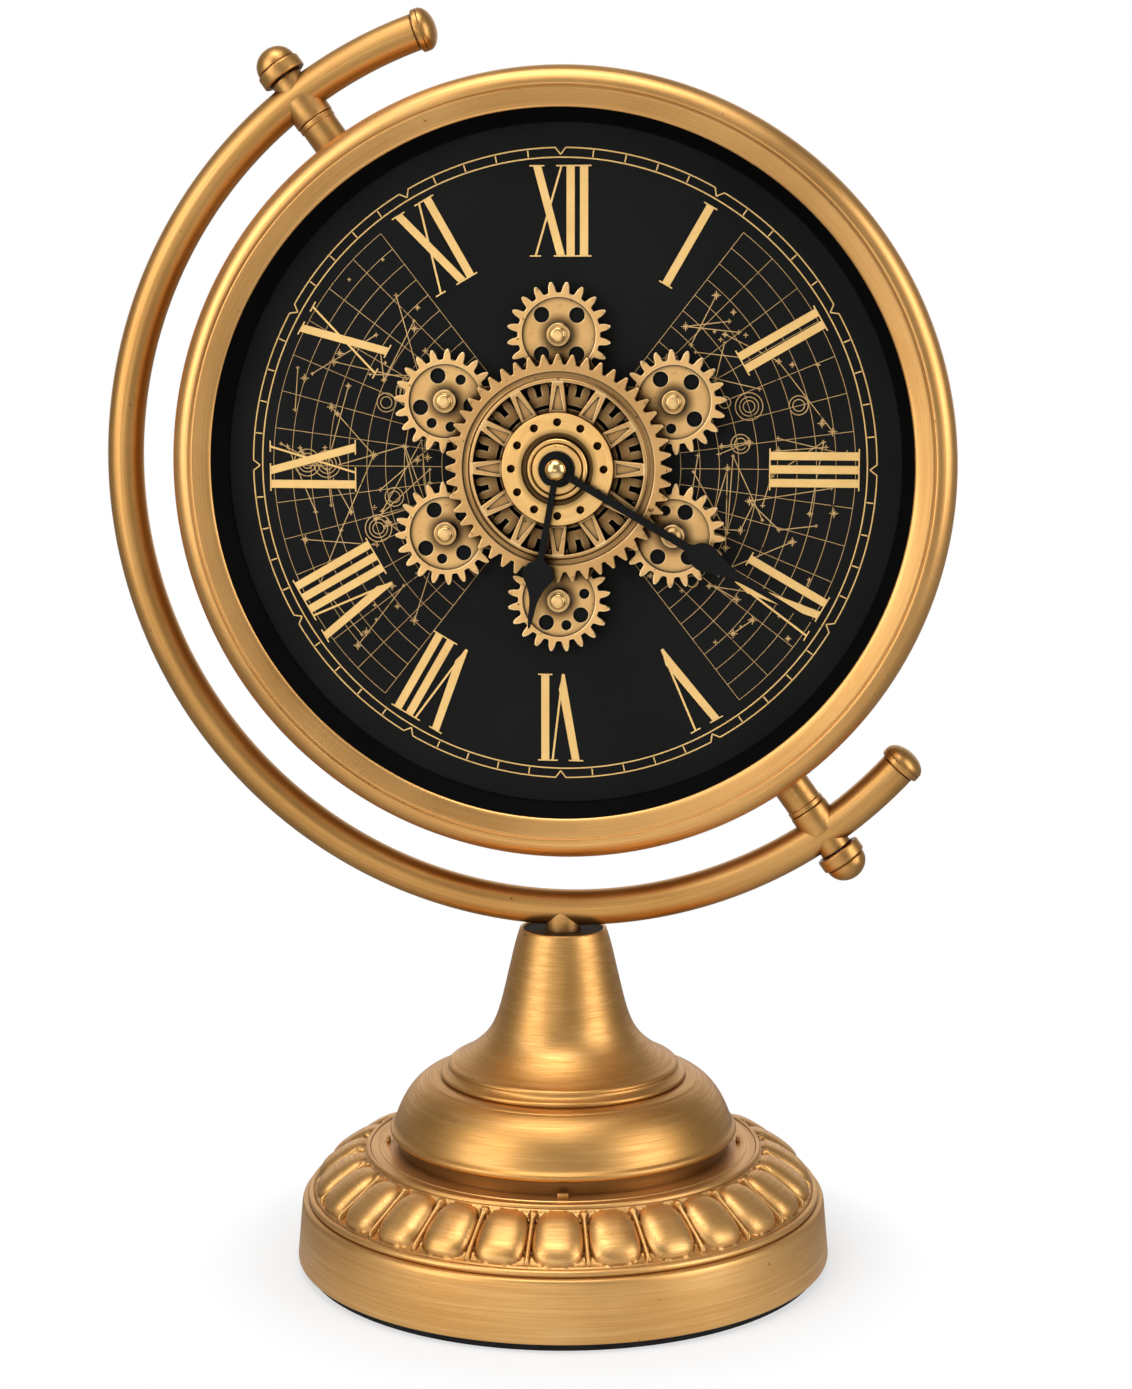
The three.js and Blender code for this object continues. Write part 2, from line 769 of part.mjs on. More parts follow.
function finial() {
  const dome = quarterRound(finialDome, finialMiddle, finialDome, finialDomeHeight, [0, 0.3, 0.55, 0.8]);
  const studHole = studRadius + boreGap;
  return turned([
    [0, finialFoot + studGrip + seatGap],
    [studHole, finialFoot + studGrip + seatGap],
    [studHole, finialFoot],
    [finialDome, finialFoot],
    [finialRadius, finialFoot + finialStep],
    [finialRadius, finialMiddle - finialStep],
    ...dome,
    [0, finialTop],
  ], smallSides);
}

for (const [end, angle] of [["upper", upperPivot], ["lower", lowerPivot]]) {
  const axis = outward(angle);
  const innerSaddle = alongAxis(tubeRing(sleeveRadius, saddleFoot, armRadius), axis);
  add(arm, `${end}_saddle`, gold, cut(innerSaddle, tubeRoom));
  const outerSaddle = alongAxis(tubeRing(outerSaddleRadius, armRadius, saddleTop), axis);
  add(arm, `${end}_outer_saddle`, gold, cut(outerSaddle, tubeRoom));
  add(drum, `${end}_sleeve`, gold, alongAxis(
    tubeRing(sleeveRadius, sleeveFoot, saddleFoot - seatGap),
    axis,
  ));
  add(drum, `${end}_stud`, steel, alongAxis(stud(), axis));
  add(drum, `${end}_finial`, gold, alongAxis(finial(), axis));
}

// Case with its dial ledge, screw lugs and stud holes
const drumSides = 40;
const lugMiddle = caseInner - lugScrewInset;
const lugAngles = Array.from({ length: lugCount }, (_, k) => (k * 2 * Math.PI) / lugCount);
function caseShell() {
  const shell = turnedRing([
    [caseRadius, -caseDepth],
    [caseRadius, caseFront],
    [caseInner, caseFront],
    [caseInner, ledgeFront],
    [dialRadius - ledgeLap, ledgeFront],
    [dialRadius - ledgeLap, ledgeRear],
    [caseInner, ledgeRear],
    [caseInner, -caseDepth],
  ], drumSides);
  const lugs = lugAngles.map((angle) => {
    const lug = box(
      [-lugWidth / 2, caseInner - lugLength, -caseDepth],
      [lugWidth / 2, caseInner + caseWall / 2, -caseDepth + lugDepth],
    );
    return lug.rotateZ(-angle);
  });
  const screwHoles = lugAngles.map((angle) => {
    const hole = rod(screwRadius + boreGap, -caseDepth - cutPast, -caseDepth + lugDepth + cutPast, tinySides);
    return hole.translate(...outward(angle).multiplyScalar(lugMiddle));
  });
  const studHoles = [upperPivot, lowerPivot].map((angle) => {
    const hole = rod(studRadius + boreGap, caseInner - caseWall, caseRadius + caseWall, smallSides);
    return alongAxis(hole, outward(angle));
  });
  return cut(join(shell, ...lugs), ...screwHoles, ...studHoles);
}
add(drum, "case_shell", gold, caseShell());

// Bezel ring: rounded bead, crease and inner slope to a thin lip
const bezelMiddle = bezelRadius - bezelSkirt;
const creaseOuter = bezelRadius - beadRun - bezelFaceRun;
add(drum, "bezel_ring", gold, turnedRing([
  [bezelMiddle, bezelRear],
  [bezelRadius - bezelEase, bezelRear],
  [bezelRadius, bezelRear + bezelEase],
  ...quarterRound(bezelRadius, bezelSeat, beadRun, bezelFlange, [0, 0.3, 0.65, 1]),
  [creaseOuter, bezelCrest - bezelFaceFall],
  [creaseOuter - bezelCreaseRun, bezelCrest - bezelFaceFall - bezelCreaseFall],
  [bezelInner, bezelSeat + lipHeight],
  [bezelInner, bezelSeat],
  [bezelMiddle, bezelSeat],
], drumSides));

// Reflector ring between the dial and the bezel
const flangeRadius = caseInner - seatGap;
add(drum, "reflector_ring", black, turnedRing([
  [reflectorFootRadius, reflectorFoot],
  [reflectorFootRadius + reflectorWall, reflectorFoot],
  [reflectorTopRadius + reflectorWall, reflectorTop - reflectorWall],
  [flangeRadius, reflectorTop - reflectorWall],
  [flangeRadius, reflectorTop],
  [reflectorTopRadius, reflectorTop],
], drumSides));

// Dial plate, drilled for the movement's post and the drive shaft
add(drum, "dial_plate", black, plate(
  circle(dialRadius, drumSides),
  [circle(postThread + boreGap, smallSides), circle(postRadius + runGap, tinySides, 0, -orbitRadius)],
  dialRear,
  dialThickness,
));

// Back cover with its access opening, and screws
const coverRadius = caseRadius - coverInset;
const accessOutline = [
  new THREE.Vector2(-movementHalf - accessMargin, movementBottom - accessMargin),
  new THREE.Vector2(holderRight + accessMargin, movementBottom - accessMargin),
  new THREE.Vector2(holderRight + accessMargin, holderTop + accessMargin),
  new THREE.Vector2(-movementHalf - accessMargin, holderTop + accessMargin),
];
const coverScrewHoles = lugAngles.map((angle) => {
  const place = outward(angle).multiplyScalar(lugMiddle);
  return circle(screwRadius + boreGap, tinySides, place.x, place.y);
});
add(drum, "back_cover", plastic, plate(
  circle(coverRadius, drumSides),
  [accessOutline, ...coverScrewHoles],
  coverRear,
  coverThickness,
));
lugAngles.forEach((angle, k) => {
  const headTop = coverRear - seatGap;
  const screw = turned([
    [0, headTop - screwHeadHeight],
    [screwHeadRadius - screwEase, headTop - screwHeadHeight],
    [screwHeadRadius, headTop - screwHeadHeight + screwEase],
    [screwHeadRadius, headTop],
    [screwRadius, headTop],
    [screwRadius, headTop + screwLength],
    [0, headTop + screwLength],
  ], tinySides);
  add(drum, `cover_screw_${k + 1}`, steel, screw, outward(angle).multiplyScalar(lugMiddle).toArray());
});

// Movement case: train chamber, battery bay and the fixed post through the dial
const postEnd = hubTop - postBack;
const tubeBore = hourTubeRadius + runGap;
const inside = movementHalf - movementWall;
add(drum, "movement_case", plastic, cut(
  join(
    box([-movementHalf, movementBottom, movementRear], [movementHalf, movementTop, movementFront]),
    rod(postThread, plateRear, postEnd, smallSides),
  ),
  box([-inside, trainBottom, movementRear - cutPast], [inside, movementTop - movementWall, plateRear]),
  box([-inside, bayBottom, movementRear - cutPast], [inside, bayTop, plateRear]),
  rod(tubeBore, plateRear - cutPast, postEnd + cutPast, smallSides),
));
add(drum, "movement_cover", plastic, plate(
  [
    new THREE.Vector2(-movementHalf, bayTop),
    new THREE.Vector2(movementHalf, bayTop),
    new THREE.Vector2(movementHalf, movementTop),
    new THREE.Vector2(-movementHalf, movementTop),
  ],
  [circle(setShaftRadius + runGap, tinySides, setX, setY)],
  lidRear,
  movementWall,
));
add(drum, "movement_nut", brass, plate(
  hexagon(movementNutAcross),
  [circle(postThread + boreGap, smallSides)],
  dialFront + seatGap,
  movementNutHeight,
));

// Battery cells, standing on Z with the nub up
function batteryCell() {
  return turned([
    [0, 0],
    [cellRadius, 0],
    [cellRadius, cellLength],
    [nubRadius, cellLength],
    [nubRadius, cellLength + nubLength],
    [0, cellLength + nubLength],
  ], tinySides);
}
const cellDepth = plateRear - cellSideRoom / 2 - cellRadius;
const clockCell = add(drum, "movement_battery", cell, batteryCell(), [
  -(cellLength + nubLength) / 2,
  bayTop - bayHeight / 2,
  cellDepth,
]);
clockCell.rotation.y = Math.PI / 2;

// Battery holder with its switch slot, two cells and the slider
add(drum, "battery_holder", plastic, cut(
  box([holderLeft, movementBottom, movementRear], [holderRight, holderTop, movementFront]),
  box(
    [holderInner, holderCellFoot, movementRear - cutPast],
    [holderRight - holderWall, holderCellTop, plateRear],
  ),
  box(
    [podMiddle - sliderWidth / 2 - seatGap, slotFoot, movementRear - cutPast],
    [podMiddle + sliderWidth / 2 + seatGap, slotTop, movementRear + sliderDepth + seatGap],
  ),
));
for (const k of [0, 1]) {
  const along = holderCellFoot + cellEndRoom;
  const x = holderInner + (k + 0.5) * cellPitch;
  const turnedCell = add(drum, `gear_battery_${k + 1}`, cell, batteryCell(), [
    x,
    k === 0 ? along : along + cellLength + nubLength,
    cellDepth,
  ]);
  turnedCell.rotation.x = k === 0 ? -Math.PI / 2 : Math.PI / 2;
}
add(drum, "switch_slider", whitePlastic, box(
  [podMiddle - sliderWidth / 2, sliderFoot, movementRear - sliderReach],
  [podMiddle + sliderWidth / 2, sliderFoot + sliderLength, movementRear + sliderDepth],
));

// Gearbox tray behind the dial, with the motor on its floor
const driveY = -orbitRadius;
function trayDrill(radius) {
  return rod(radius, trayRear - cutPast, trayFloor + cutPast, tinySides);
}
add(drum, "gearbox_tray", plastic, cut(
  box([-trayHalf, driveY - trayHalf, trayRear], [trayRight, driveY + trayHalf, movementFront]),
  box(
    [-trayHalf + trayWall, driveY - trayHalf + trayWall, trayFloor],
    [trayRight - trayWall, driveY + trayHalf - trayWall, movementFront + cutPast],
  ),
  trayDrill(postRadius + runGap).translate(0, driveY, 0),
  trayDrill(motorShaft + runGap).translate(driveDistance, driveY, 0),
));
add(drum, "gear_motor", steel, turned([
  [0, motorFront - motorDepth],
  [motorRadius, motorFront - motorDepth],
  [motorRadius, motorFront],
  [motorShaft + runGap, motorFront],
  [motorShaft + runGap, motorFront - motorDepth / 2],
  [0, motorFront - motorDepth / 2],
], smallSides), [driveDistance, driveY, 0]);

// Sun gear and front gear, turning together on the movement's post
const sunBore = postThread + runGap;
const sunWindows = Array.from({ length: sunSlots }, (_, k) => {
  const middle = (k * 2 * Math.PI) / sunSlots;
  const arc = (radius, side) => {
    const angle = middle + (side * sunSlotSpan) / 2;
    return new THREE.Vector2(radius * Math.cos(angle), radius * Math.sin(angle));
  };
  return [arc(sunSlotInner, -1), arc(sunSlotOuter, -1), arc(sunSlotOuter, 1), arc(sunSlotInner, 1)];
});
add(drum, "sun_gear", brass, plate(
  gearOutline(sunTeeth, gearModule),
  [circle(sunBore, smallSides), ...sunWindows],
  gearRear,
  gearThickness,
));

function frontGear() {
  const windows = Array.from({ length: frontSpokes }, (_, k) => {
    const middle = ((k + 0.5) * 2 * Math.PI) / frontSpokes;
    const corner = (radius, width, side) => {
      const angle = middle + (side * width) / (2 * radius);
      return new THREE.Vector2(radius * Math.cos(angle), radius * Math.sin(angle));
    };
    return [
      corner(windowInner, windowInnerWidth, -1),
      corner(windowOuter, windowOuterWidth, -1),
      corner(windowOuter, windowOuterWidth, 0),
      corner(windowOuter, windowOuterWidth, 1),
      corner(windowInner, windowInnerWidth, 1),
    ];
  });
  const bite = frontThickness / 2;
  const discTop = frontFace + hubDiscHeight;
  const ringTop = discTop + hubRingHeight;
  const hub = turnedRing([
    [sunBore, frontFace - bite],
    [hubRadius, frontFace - bite],
    [hubRadius, discTop],
    [hubRing, discTop],
    [hubRing, ringTop],
    [hubCrown, ringTop],
    [hubCrown, hubTop],
    [sunBore, hubTop],
  ], middleSides);
  const wheel = plate(
    gearOutline(frontTeeth, frontModule),
    [circle(sunBore, smallSides), ...windows],
    frontRear,
    frontThickness,
  );
  return join(wheel, hub);
}
add(drum, "front_gear", gold, frontGear());

// Satellite gears: face holes as angles clockwise from 12 o'clock at rest, with their radii
const faceHoles = [
  [[-42, largeHole], [43, largeHole], [138, largeHole], [222, largeHole]],
  [[-31, largeHole], [41, largeHole], [129, largeHole], [186, smallHole]],
  [[-18, smallHole], [27, largeHole], [144, largeHole], [216, largeHole]],
  [[75, smallHole], [124, largeHole], [164, smallHole], [210, largeHole], [300, largeHole]],
  [[-28, largeHole], [40, largeHole], [138, largeHole], [190, smallHole], [234, largeHole]],
  [[-17, largeHole], [36, smallHole], [100, largeHole], [169, smallHole], [213, smallHole], [256, largeHole]],
];
const satelliteBore = postRadius + runGap;
const faceRadius = gearModule * (satelliteTeeth / 2 - dedendum) - faceRim;
const faceInner = postCollar + collarMargin;
const faceHoleSides = 6;
function satelliteGear(holes, phase) {
  const face = turnedRing([
    [faceInner, gearFront - faceRecess],
    [faceRadius, gearFront - faceRecess],
    [faceRadius, gearFront + cutPast],
    [faceInner, gearFront + cutPast],
  ], tinySides);
  const openings = holes.map(([degrees, radius]) => {
    const place = outward(THREE.MathUtils.degToRad(degrees)).multiplyScalar(faceHoleRadius);
    return circle(radius, faceHoleSides, place.x, place.y);
  });
  const wheel = plate(
    gearOutline(satelliteTeeth, gearModule, phase),
    [circle(satelliteBore, tinySides), ...openings],
    gearRear,
    gearThickness,
  );
  return cut(wheel, face);
}

// Head of a post or of the drive shaft, in front of its gear
const collarFoot = gearFront + seatGap;
const collarTop = collarFoot + postCollarHeight;
const postHead = [
  [postRadius, collarFoot],
  [postCollar, collarFoot],
  [postCollar, collarTop],
  [postCap, collarTop],
  [postCap, collarTop + postCapHeight],
  [0, collarTop + postCapHeight],
];
const satellitePost = [
  [0, dialFront + seatGap],
  [postFlange, dialFront + seatGap],
  [postFlange, gearRear - seatGap],
  [postRadius, gearRear - seatGap],
  ...postHead,
];
const drivenSatellite = 3;
for (let k = 0; k < satelliteCount; k++) {
  const angle = (k * 2 * Math.PI) / satelliteCount;
  const place = outward(angle).multiplyScalar(orbitRadius).toArray();
  const phase = meshPhase(Math.PI / 2 - angle, sunTeeth, 0, satelliteTeeth);
  add(drum, `satellite_gear_${k + 1}`, gold, satelliteGear(faceHoles[k], phase), place);
  if (k === drivenSatellite) continue;
  add(drum, `satellite_post_${k + 1}`, brass, turned(satellitePost, tinySides), place);
}

// Drive shaft with its wheel, and the motor's shaft with its pinion
const driveWheelTop = driveRear + wheelThickness;
const drivePhase = 0;
add(drum, "drive_shaft", brass, join(
  plate(gearOutline(driveTeeth, driveModule, drivePhase), [], driveRear, wheelThickness),
  turned([[0, trayRear], [postRadius, trayRear], ...postHead], tinySides),
), [0, driveY, 0]);
const motorPhase = meshPhase(0, driveTeeth, drivePhase, motorTeeth);
add(drum, "motor_pinion", brass, join(
  plate(gearOutline(motorTeeth, driveModule, motorPhase), [], driveRear, wheelThickness),
  rod(motorShaft, motorFront - motorDepth / 2 + seatGap, driveWheelTop + seatGap, tinySides),
), [driveDistance, driveY, 0]);

// Hour wheel with its tube, minute arbor with its pinion, and the minute wheel with the setting knob
const minuteBore = minuteArborRadius + runGap;
const hourWheel = join(
  plate(gearOutline(hourTeeth, trainModule), [circle(minuteBore, smallSides)], hourWheelRear, wheelThickness),
  turnedRing([
    [minuteBore, hourWheelRear],
    [hourTubeRadius, hourWheelRear],
    [hourTubeRadius, hourFront],
    [minuteBore, hourFront],
  ], smallSides),
);
add(drum, "hour_wheel", brass, hourWheel);
add(drum, "minute_arbor", steel, join(
  plate(gearOutline(cannonTeeth, trainModule), [], cannonRear, wheelThickness),
  rod(minuteArborRadius, lidFront + seatGap, nutRear + handNutGrip, smallSides),
));
const minuteWheelPhase = meshPhase(minuteWheelAngle, cannonTeeth, 0, minuteTeeth);
const minutePinionPhase = meshPhase(minuteWheelAngle, hourTeeth, 0, minutePinionTeeth);
const knobFront = lidRear - seatGap;
add(drum, "set_knob", whitePlastic, join(
  plate(gearOutline(minuteTeeth, trainModule, minuteWheelPhase), [], cannonRear, wheelThickness),
  plate(
    gearOutline(minutePinionTeeth, trainModule, minutePinionPhase),
    [],
    cannonFront - wheelThickness / 2,
    hourWheelFront - cannonFront + wheelThickness / 2,
  ),
  rod(setShaftRadius, knobFront - knobHeight / 2, plateRear - seatGap / 2, tinySides),
  turned([
    [0, knobFront - knobHeight],
    [knobRadius - knobEase, knobFront - knobHeight],
    [knobRadius, knobFront - knobHeight + knobEase],
    [knobRadius, knobFront],
    [0, knobFront],
  ], smallSides),
), [setX, setY, 0]);

// Hands: a hub, a stem and a spade that runs out to a point, pointing at 12 before they are turned
function hand(length, stem, spade, spadeFoot, hub, bore, rear) {
  const swell = spadeFoot + spade * 0.62; // where the spade is widest
  const pinch = spadeFoot + spade * 0.12;
  const shoulder = swell + spade * 0.55;
  const tipFoot = length * 0.82;
  const neckHalf = stem * 0.42;
  const tipHalf = stem * 0.3;
  const blade = new THREE.Shape();
  blade.moveTo(-stem / 2, 0);
  blade.lineTo(-neckHalf, spadeFoot);
  blade.quadraticCurveTo(-spade / 2, pinch, -spade / 2, swell);
  blade.quadraticCurveTo(-spade * 0.4, shoulder, -tipHalf, tipFoot);
  blade.lineTo(0, length);
  blade.lineTo(tipHalf, tipFoot);
  blade.quadraticCurveTo(spade * 0.4, shoulder, spade / 2, swell);
  blade.quadraticCurveTo(spade / 2, pinch, neckHalf, spadeFoot);
  blade.lineTo(stem / 2, 0);
  const disc = plate(circle(hub, smallSides), [], rear, handThickness);
  const drill = rod(bore, rear - cutPast, rear + handThickness + cutPast, smallSides);
  return cut(join(plate(blade, [], rear, handThickness), disc), drill);
}
const hourBore = hourTubeRadius + boreGap;
const hourHand = add(drum, "hour_hand", black,
  hand(hourLength, hourStem, hourSpade, hourSpadeFoot, hourHub, hourBore, hourRear));
hourHand.rotation.z = -hourAngle;
const nutBore = minuteArborRadius + boreGap;
const minuteHand = add(drum, "minute_hand", black,
  hand(minuteLength, minuteStem, minuteSpade, minuteSpadeFoot, minuteHub, nutBore, minuteRear));
minuteHand.rotation.z = -minuteAngle;
const nutDomeRise = handNutHeight - handNutBand;
add(drum, "hand_nut", brass, turned([
  [0, nutRear + handNutGrip + seatGap],
  [nutBore, nutRear + handNutGrip + seatGap],
  [nutBore, nutRear],
  [handNutRadius, nutRear],
  ...quarterRound(handNutRadius, nutRear + handNutBand, handNutRadius, nutDomeRise, [0, 0.35, 0.7]),
  [0, nutRear + handNutHeight],
], smallSides));

export default clock;
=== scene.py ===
import json
from math import acos, asin, atan2, cos, exp, hypot, pi, radians, sin, sqrt, tan
import random
import bpy
from mathutils import Matrix, Vector

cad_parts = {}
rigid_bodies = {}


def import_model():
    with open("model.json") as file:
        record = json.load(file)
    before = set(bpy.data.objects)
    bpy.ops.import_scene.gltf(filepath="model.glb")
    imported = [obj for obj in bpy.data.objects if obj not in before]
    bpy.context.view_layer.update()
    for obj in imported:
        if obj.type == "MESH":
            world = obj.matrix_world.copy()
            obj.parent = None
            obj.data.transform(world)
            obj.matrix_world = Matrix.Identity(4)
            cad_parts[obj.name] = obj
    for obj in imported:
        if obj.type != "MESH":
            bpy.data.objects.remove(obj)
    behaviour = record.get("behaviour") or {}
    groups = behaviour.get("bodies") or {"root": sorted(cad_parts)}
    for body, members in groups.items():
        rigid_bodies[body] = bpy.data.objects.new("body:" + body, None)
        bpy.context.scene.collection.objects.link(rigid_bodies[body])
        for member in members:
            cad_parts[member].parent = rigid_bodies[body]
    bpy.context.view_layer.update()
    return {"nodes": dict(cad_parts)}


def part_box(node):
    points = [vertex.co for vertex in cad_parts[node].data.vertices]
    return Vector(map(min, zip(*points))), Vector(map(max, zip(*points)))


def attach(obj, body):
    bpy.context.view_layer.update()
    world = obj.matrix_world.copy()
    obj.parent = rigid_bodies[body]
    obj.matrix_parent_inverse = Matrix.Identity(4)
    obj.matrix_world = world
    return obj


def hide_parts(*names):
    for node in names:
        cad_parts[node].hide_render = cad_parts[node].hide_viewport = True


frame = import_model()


class Sizes(dict):
    # a dictionary whose entries are also read as names
    __getattr__ = dict.__getitem__


mm = 0.001
fullTurn = 2 * pi
weld = 0.0004
shift = Matrix.Translation
dialLow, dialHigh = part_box("dial_plate")
dialHeight = (dialLow.z + dialHigh.z) / 2
drumCentre = (0, 0, dialHeight)
drumTurn = (pi / 2, 0, 0)
standPlace = Matrix.Scale(mm, 4)
drumPlace = shift(drumCentre) @ Matrix.Rotation(pi / 2, 4, "X") @ standPlace


# boxes of the solids, in millimetres
def drumSpan(node):
    low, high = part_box(node)
    return -high.y / mm, -low.y / mm


def standSpan(node):
    low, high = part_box(node)
    return low.z / mm, high.z / mm


def drumSides(node):
    low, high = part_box(node)
    return low.x / mm, high.x / mm, (low.z - dialHeight) / mm, (high.z - dialHeight) / mm


def middleOf(node):
    left, right, low, high = drumSides(node)
    return Vector(((left + right) / 2, (low + high) / 2, 0))


def wide(node):
    low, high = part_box(node)
    return (high.x - low.x) / mm / 2


# the camera stands where the photo was taken from
camera = Sizes(eye=(0.1392, -1.0385, 0.3804), target=(0.0011, 0.0001, 0.22646), lens=70.58, sensor=36)
bpy.ops.object.select_all(action="DESELECT")
bpy.ops.object.camera_add(location=camera.eye)
cameraObject = bpy.context.object
cameraAim = Vector(camera.target) - Vector(camera.eye)
cameraObject.rotation_euler = cameraAim.to_track_quat("-Z", "Y").to_euler()
cameraObject.data.lens = camera.lens
cameraObject.data.sensor_width = camera.sensor
bpy.context.scene.camera = cameraObject
bpy.context.scene.view_settings.view_transform = "Standard"
print("camera placed")


# node helpers, for the tree of the newest material
def newMaterial(name):
    global tree
    material = bpy.data.materials.new(name)
    material.use_nodes = True
    tree = material.node_tree
    tree.nodes.clear()
    output = tree.nodes.new("ShaderNodeOutputMaterial")
    shader = tree.nodes.new("ShaderNodeBsdfPrincipled")
    tree.links.new(shader.outputs["BSDF"], output.inputs["Surface"])
    return material, shader


def addNode(kind, *sockets, **settings):
    node = tree.nodes.new("ShaderNode" + kind)
    for name, value in settings.items():
        setattr(node, name, value)
    for socket, value in sockets:
        if isinstance(value, bpy.types.NodeSocket):
            tree.links.new(value, node.inputs[socket])
        else:
            node.inputs[socket].default_value = value
    return node


def maths(operation, first, second=0.0):
    return addNode("Math", (0, first), (1, second), operation=operation).outputs[0]


def lengthOf(vector):
    return addNode("VectorMath", (0, vector), operation="LENGTH").outputs["Value"]


def grey(level):
    return (level, level, level)


def opaque(tone):
    return (*tone, 1) if isinstance(tone, tuple) else tone


def mixColour(factor, first, second):
    sockets = ((0, factor), (6, opaque(first)), (7, opaque(second)))
    return addNode("Mix", *sockets, data_type="RGBA").outputs[2]


def between(value, low, high, start=0.0, end=1.0):
    sockets = (("Value", value), ("From Min", low), ("From Max", high), ("To Min", start), ("To Max", end))
    return addNode("MapRange", *sockets).outputs["Result"]


def objectCoords(centre=(0, 0, 0), turn=(0, 0, 0)):
    coords = addNode("TexCoord").outputs["Object"]
    sockets = (("Vector", coords), ("Location", centre), ("Rotation", turn))
    return addNode("Mapping", *sockets, vector_type="TEXTURE").outputs["Vector"]


def noise(coords, scale, detail=3.0, rough=0.5):
    sockets = (("Vector", coords), ("Scale", scale), ("Detail", detail), ("Roughness", rough))
    return addNode("TexNoise", *sockets).outputs["Fac"]


def brushStreaks(coords, fine, along):
    # noise that runs round the mapped Z axis without a seam
    split = addNode("SeparateXYZ", ("Vector", coords)).outputs
    flat = addNode("CombineXYZ", ("X", split["X"]), ("Y", split["Y"])).outputs["Vector"]
    unit = addNode("VectorMath", (0, flat), operation="NORMALIZE").outputs["Vector"]
    spread = addNode("SeparateXYZ", ("Vector", unit)).outputs
    sockets = (("X", maths("MULTIPLY", lengthOf(flat), fine)), ("Y", maths("MULTIPLY", split["Z"], fine)),
               ("Z", maths("MULTIPLY", spread["X"], along)))
    joined = addNode("CombineXYZ", *sockets).outputs["Vector"]
    turning = maths("MULTIPLY", spread["Y"], along)
    sockets = (("Vector", joined), ("W", turning), ("Scale", 1.0), ("Detail", 4.0), ("Roughness", 0.62))
    return addNode("TexNoise", *sockets, noise_dimensions="4D").outputs["Fac"]


def shadedRing(coords, inner, innerFull, outerFull, outer, share):
    # painted shade, partly patina, in a ring round the mapped Z axis
    flat = addNode("VectorMath", (0, coords), (1, (1, 1, 0)), operation="MULTIPLY").outputs["Vector"]
    reach = lengthOf(flat)
    rise = between(reach, inner, innerFull, 0, share)
    return maths("MULTIPLY", rise, between(reach, outerFull, outer, 1, 0))


def occlusion(reach, inside=False):
    # occlusion masks the painted shade in hollows; seen from inside the metal, the walls close in on an outer
    # edge, which gets a painted highlight
    return addNode("AmbientOcclusion", ("Distance", reach), samples=8, inside=inside).outputs["AO"]


def finish(shader, colour, rough, height, strength, depth):
    tree.links.new(colour, shader.inputs["Base Color"])
    tree.links.new(rough, shader.inputs["Roughness"])
    sockets = (("Height", height), ("Strength", strength), ("Distance", depth))
    tree.links.new(addNode("Bump", *sockets).outputs["Normal"], shader.inputs["Normal"])


# brushed gold of stand and drum
# deep is the tone of dark specks, and also of the painted shade in creases and rings
antique = Sizes(
    dark=(0.64, 0.325, 0.09), light=(0.78, 0.43, 0.14), shade=(0.42, 0.195, 0.046), bright=(0.88, 0.54, 0.22),
    deep=(0.19, 0.09, 0.027), fine=1900.0, along=2.2, clouds=18.0, specks=330.0, streak=0.46, crease=0.0045,
    rough=0.40, bump=0.14, lacquer=0.06, stain=None)


def brushedGold(name, onDrum=True, **changes):
    look = Sizes(antique, **changes)
    material, shader = newMaterial(name)
    coords = objectCoords(drumCentre, drumTurn) if onDrum else objectCoords()
    streaks = brushStreaks(coords, look.fine, look.along)
    longStreaks = brushStreaks(coords, look.fine * 0.22, look.along * 0.6)
    clouds = noise(coords, look.clouds, 4.0, 0.55)
    specks = noise(coords, look.specks, 2.0, 0.4)
    tone = mixColour(between(clouds, 0.32, 0.68), look.dark, look.light)
    tone = mixColour(between(streaks, 0.36, 0.64, 0, look.streak), tone, look.shade)
    tone = mixColour(between(longStreaks, 0.5, 0.72, 0, look.streak * 0.9), tone, look.bright)
    tone = mixColour(between(specks, 0.75, 0.80, 0, 0.75), tone, look.deep)
    # a ring of painted shade, when the look has one
    if look.stain:
        tone = mixColour(shadedRing(coords, *look.stain), tone, look.deep)
    # painted shade, partly patina: the deep tone goes where occlusion finds a crease or hollow
    tone = mixColour(between(occlusion(look.crease), 0.2, 0.9), look.deep, tone)
    rough = between(streaks, 0.3, 0.7, look.rough - 0.07, look.rough + 0.09)
    rough = maths("ADD", rough, between(clouds, 0.3, 0.7, -0.03, 0.05))
    height = maths("ADD", streaks, maths("MULTIPLY", longStreaks, 0.6))
    finish(shader, tone, rough, height, look.bump, 0.0004)
    shader.inputs["Metallic"].default_value = 1.0
    shader.inputs["Coat Weight"].default_value = look.lacquer
    shader.inputs["Coat Roughness"].default_value = 0.32
    return material


standGold = brushedGold("standGold", False, dark=(0.75, 0.395, 0.122), light=(0.88, 0.51, 0.185),
                        shade=(0.50, 0.24, 0.062), bright=(0.95, 0.62, 0.28))
turnedGold = brushedGold("turnedGold", False, crease=0.0018)
# a dark copy of the stand gold for the band under the dome's lip: painted shade
recessShadeGold = brushedGold("recessShadeGold", False, dark=(0.20, 0.098, 0.028), light=(0.30, 0.155, 0.05),
                         bright=(0.36, 0.19, 0.065), shade=(0.14, 0.066, 0.018))
drumGold = brushedGold("drumGold", fine=1000.0, bump=0.02, streak=0.40)
bezelGold = brushedGold("bezelGold", dark=(0.80, 0.415, 0.130), light=(0.92, 0.515, 0.178), rough=0.37,
                        crease=0.0012, streak=0.34, bump=0.10)
fittingGold = brushedGold("fittingGold", dark=(0.58, 0.295, 0.084), light=(0.72, 0.395, 0.13), fine=1200.0,
                          along=3.0, clouds=14.0, streak=0.22, bump=0.01, rough=0.38, crease=0.005)
